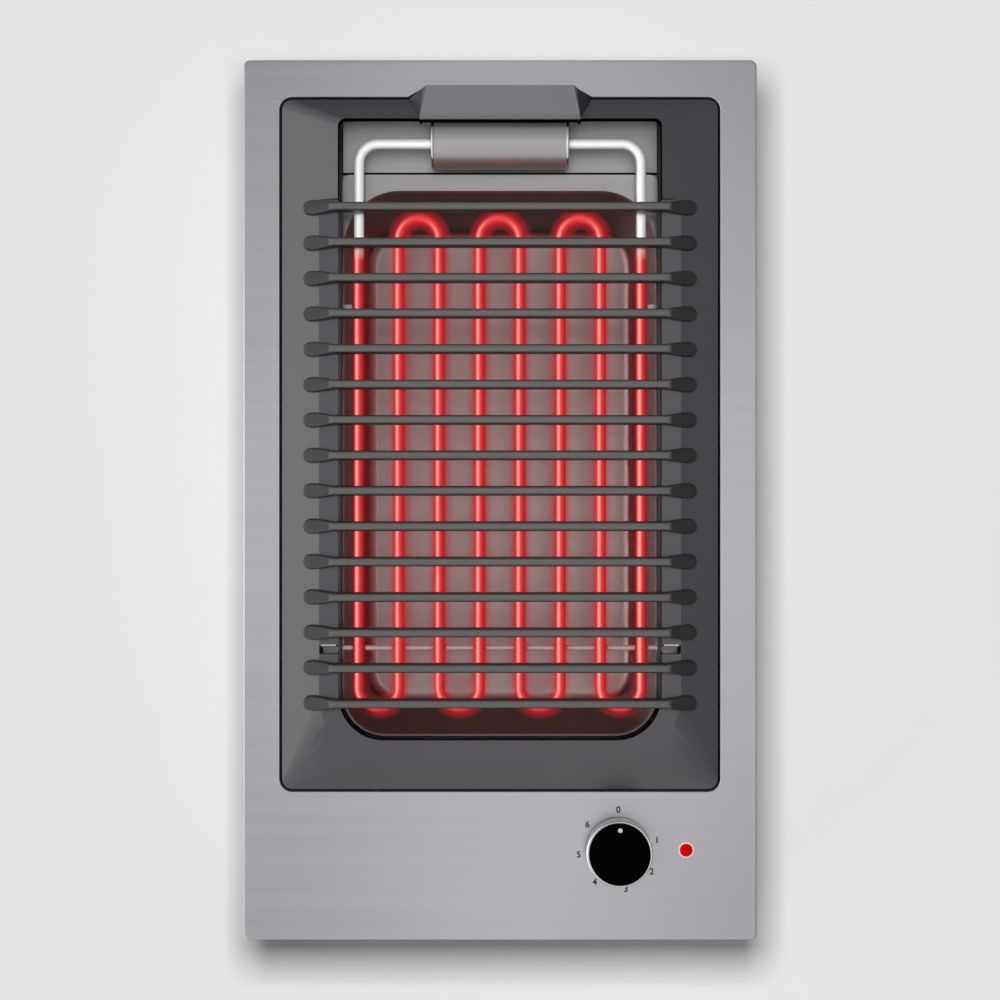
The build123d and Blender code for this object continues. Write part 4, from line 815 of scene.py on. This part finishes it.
knobLow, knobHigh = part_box("knob_ring")
knobCentre = Vector(((knobLow[0] + knobHigh[0]) / 2, (knobLow[1] + knobHigh[1]) / 2, plateTop))
printed = bmesh.new()
for figure, turn in enumerate(dialPrint["turns"]):
    textCurve = bpy.data.curves.new("figure", "FONT")
    textCurve.body = str(figure)
    textCurve.size = dialPrint["height"] / dialPrint["capShare"]
    textCurve.align_x = "CENTER"
    textCurve.align_y = "CENTER"
    textCurve.offset = dialPrint["bold"]
    textObject = bpy.data.objects.new("figure", textCurve)
    flatMesh = bpy.data.meshes.new_from_object(textObject)
    around = math.radians(turn)
    spot = knobCentre + Vector((math.sin(around), math.cos(around), 0.0)) * dialPrint["radius"]
    flatMesh.transform(Matrix.Translation(spot + Vector((0.0, 0.0, dialPrint["lift"]))))
    printed.from_mesh(flatMesh)
    bpy.data.objects.remove(textObject)
    bpy.data.meshes.remove(flatMesh)
bmesh.ops.recalc_face_normals(printed, faces=printed.faces)
for face in printed.faces:
    if face.normal.z < 0:
        face.normal_flip()
dialFigures = newPiece("dialFigures", printed, inkBlack)
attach(dialFigures, "housing")
print("dial printed")


# ---- floor, lamps and world

studio = {
    "floorSize": 6.0, "floorReach": 3.0, "ambient": 0.075, "backdrop": 0.8, "middle": (-0.034, 0.117, 0.0),
    "floorColour": (0.79, 0.795, 0.79), "floorTone": [(0.0, 0.74), (0.107, 0.86), (0.15, 0.955), (0.2, 0.98)],
    "farTone": [(0.08, 0.0), (0.112, 0.018), (0.135, 0.016), (0.157, 0.08), (0.2, 0.18), (0.333, 0.38),
                (0.667, 0.54), (1.0, 0.57)],
}

floorWork = bmesh.new()
bmesh.ops.create_grid(floorWork, x_segments=1, y_segments=1, size=studio["floorSize"] / 2)
floorFinish, floorTree, floorSurface = newMaterial("paleFloor", studio["floorColour"], 0.9)
floorSurface.inputs["Specular IOR Level"].default_value = 0.1
floorPlace = addNode(floorTree, "ShaderNodeTexCoord")
fromLamp = addNode(floorTree, "ShaderNodeVectorMath", operation="DISTANCE")
fromLamp.inputs[1].default_value = studio["middle"]
floorTree.links.new(floorPlace.outputs["Object"], fromLamp.inputs[0])
away = reckon(floorTree, "DIVIDE", fromLamp.outputs["Value"], studio["floorReach"])
near = addRamp(floorTree, away, studio["floorTone"], "LINEAR")
floorTree.links.new(near, floorSurface.inputs["Base Color"])
far = addRamp(floorTree, away, studio["farTone"], "LINEAR")  # keeps the far floor as pale as the near one
lookedAt = addNode(floorTree, "ShaderNodeLightPath")
shown = mixShades(floorTree, lookedAt.outputs["Is Camera Ray"], black, far)
floorTree.links.new(shown, floorSurface.inputs["Emission Color"])
floorSurface.inputs["Emission Strength"].default_value = 1.0
paleFloor = newPiece("paleFloor", floorWork, floorFinish)

# one soft square lamp near the part throws the short wide shadow, a sun straight above fills in
lamps = {
    "softSquare": {"kind": "AREA", "at": (-0.031, 0.129, 1.035), "size": 0.265, "power": 9.7},
    "above": {"kind": "SUN", "at": (0.0, 0.0, 3.0), "spread": 10.0, "power": 0.14},
}
for lampName, lamp in lamps.items():
    lampData = bpy.data.lights.new(lampName, lamp["kind"])
    if lamp["kind"] == "AREA":
        lampData.size = lamp["size"]
    else:
        lampData.angle = math.radians(lamp["spread"])
    lampData.energy = lamp["power"]
    lampObject = bpy.data.objects.new(lampName, lampData)
    lampObject.location = lamp["at"]
    lampObject.visible_camera = False
    lampObject.visible_glossy = False  # gloss sees the world's soft boxes instead
    bpy.context.scene.collection.objects.link(lampObject)

# even for matt surfaces, while gloss sees a pale ceiling, a soft box to the left and dim walls
sky = {
    "gain": 2.0,
    "sideways": [(0.0, 1.55), (0.1, 1.20), (0.2, 1.08), (0.34, 0.45), (0.43, 0.28), (0.5, 0.58), (0.57, 0.64),
                 (0.66, 0.36), (0.8, 0.20), (1.0, 0.12)],
    "lengthways": [(0.0, 0.80), (0.11, 0.92), (0.25, 0.92), (0.39, 0.82), (0.5, 1.05), (0.6, 0.76),
                   (0.75, 0.5), (1.0, 0.25)],
}
world = bpy.data.worlds.new("studioWorld")
bpy.context.scene.world = world
world.use_nodes = True
worldTree = world.node_tree
background = worldTree.nodes["Background"]
way = addNode(worldTree, "ShaderNodeTexCoord")
wayParts = addNode(worldTree, "ShaderNodeSeparateXYZ")
worldTree.links.new(way.outputs["Generated"], wayParts.inputs[0])
levels = []
for axis, stops in (("X", sky["sideways"]), ("Y", sky["lengthways"])):
    share = reckon(worldTree, "MULTIPLY_ADD", wayParts.outputs[axis], 0.5, 0.5)
    levels.append(addRamp(worldTree, share, stops, "LINEAR"))
glossLevel = reckon(worldTree, "MULTIPLY", reckon(worldTree, "MULTIPLY", *levels), sky["gain"])
rays = addNode(worldTree, "ShaderNodeLightPath")
level = addNode(worldTree, "ShaderNodeMix", data_type="FLOAT")
level.inputs[2].default_value = studio["ambient"]
worldTree.links.new(rays.outputs["Is Glossy Ray"], level.inputs[0])
worldTree.links.new(glossLevel, level.inputs[3])
seen = addNode(worldTree, "ShaderNodeMix", data_type="FLOAT")
seen.inputs[3].default_value = studio["backdrop"]
worldTree.links.new(rays.outputs["Is Camera Ray"], seen.inputs[0])
worldTree.links.new(level.outputs[0], seen.inputs[2])
worldTree.links.new(seen.outputs[0], background.inputs["Strength"])
background.inputs["Color"].default_value = (1.0, 1.0, 1.0, 1.0)
print("studio lit")
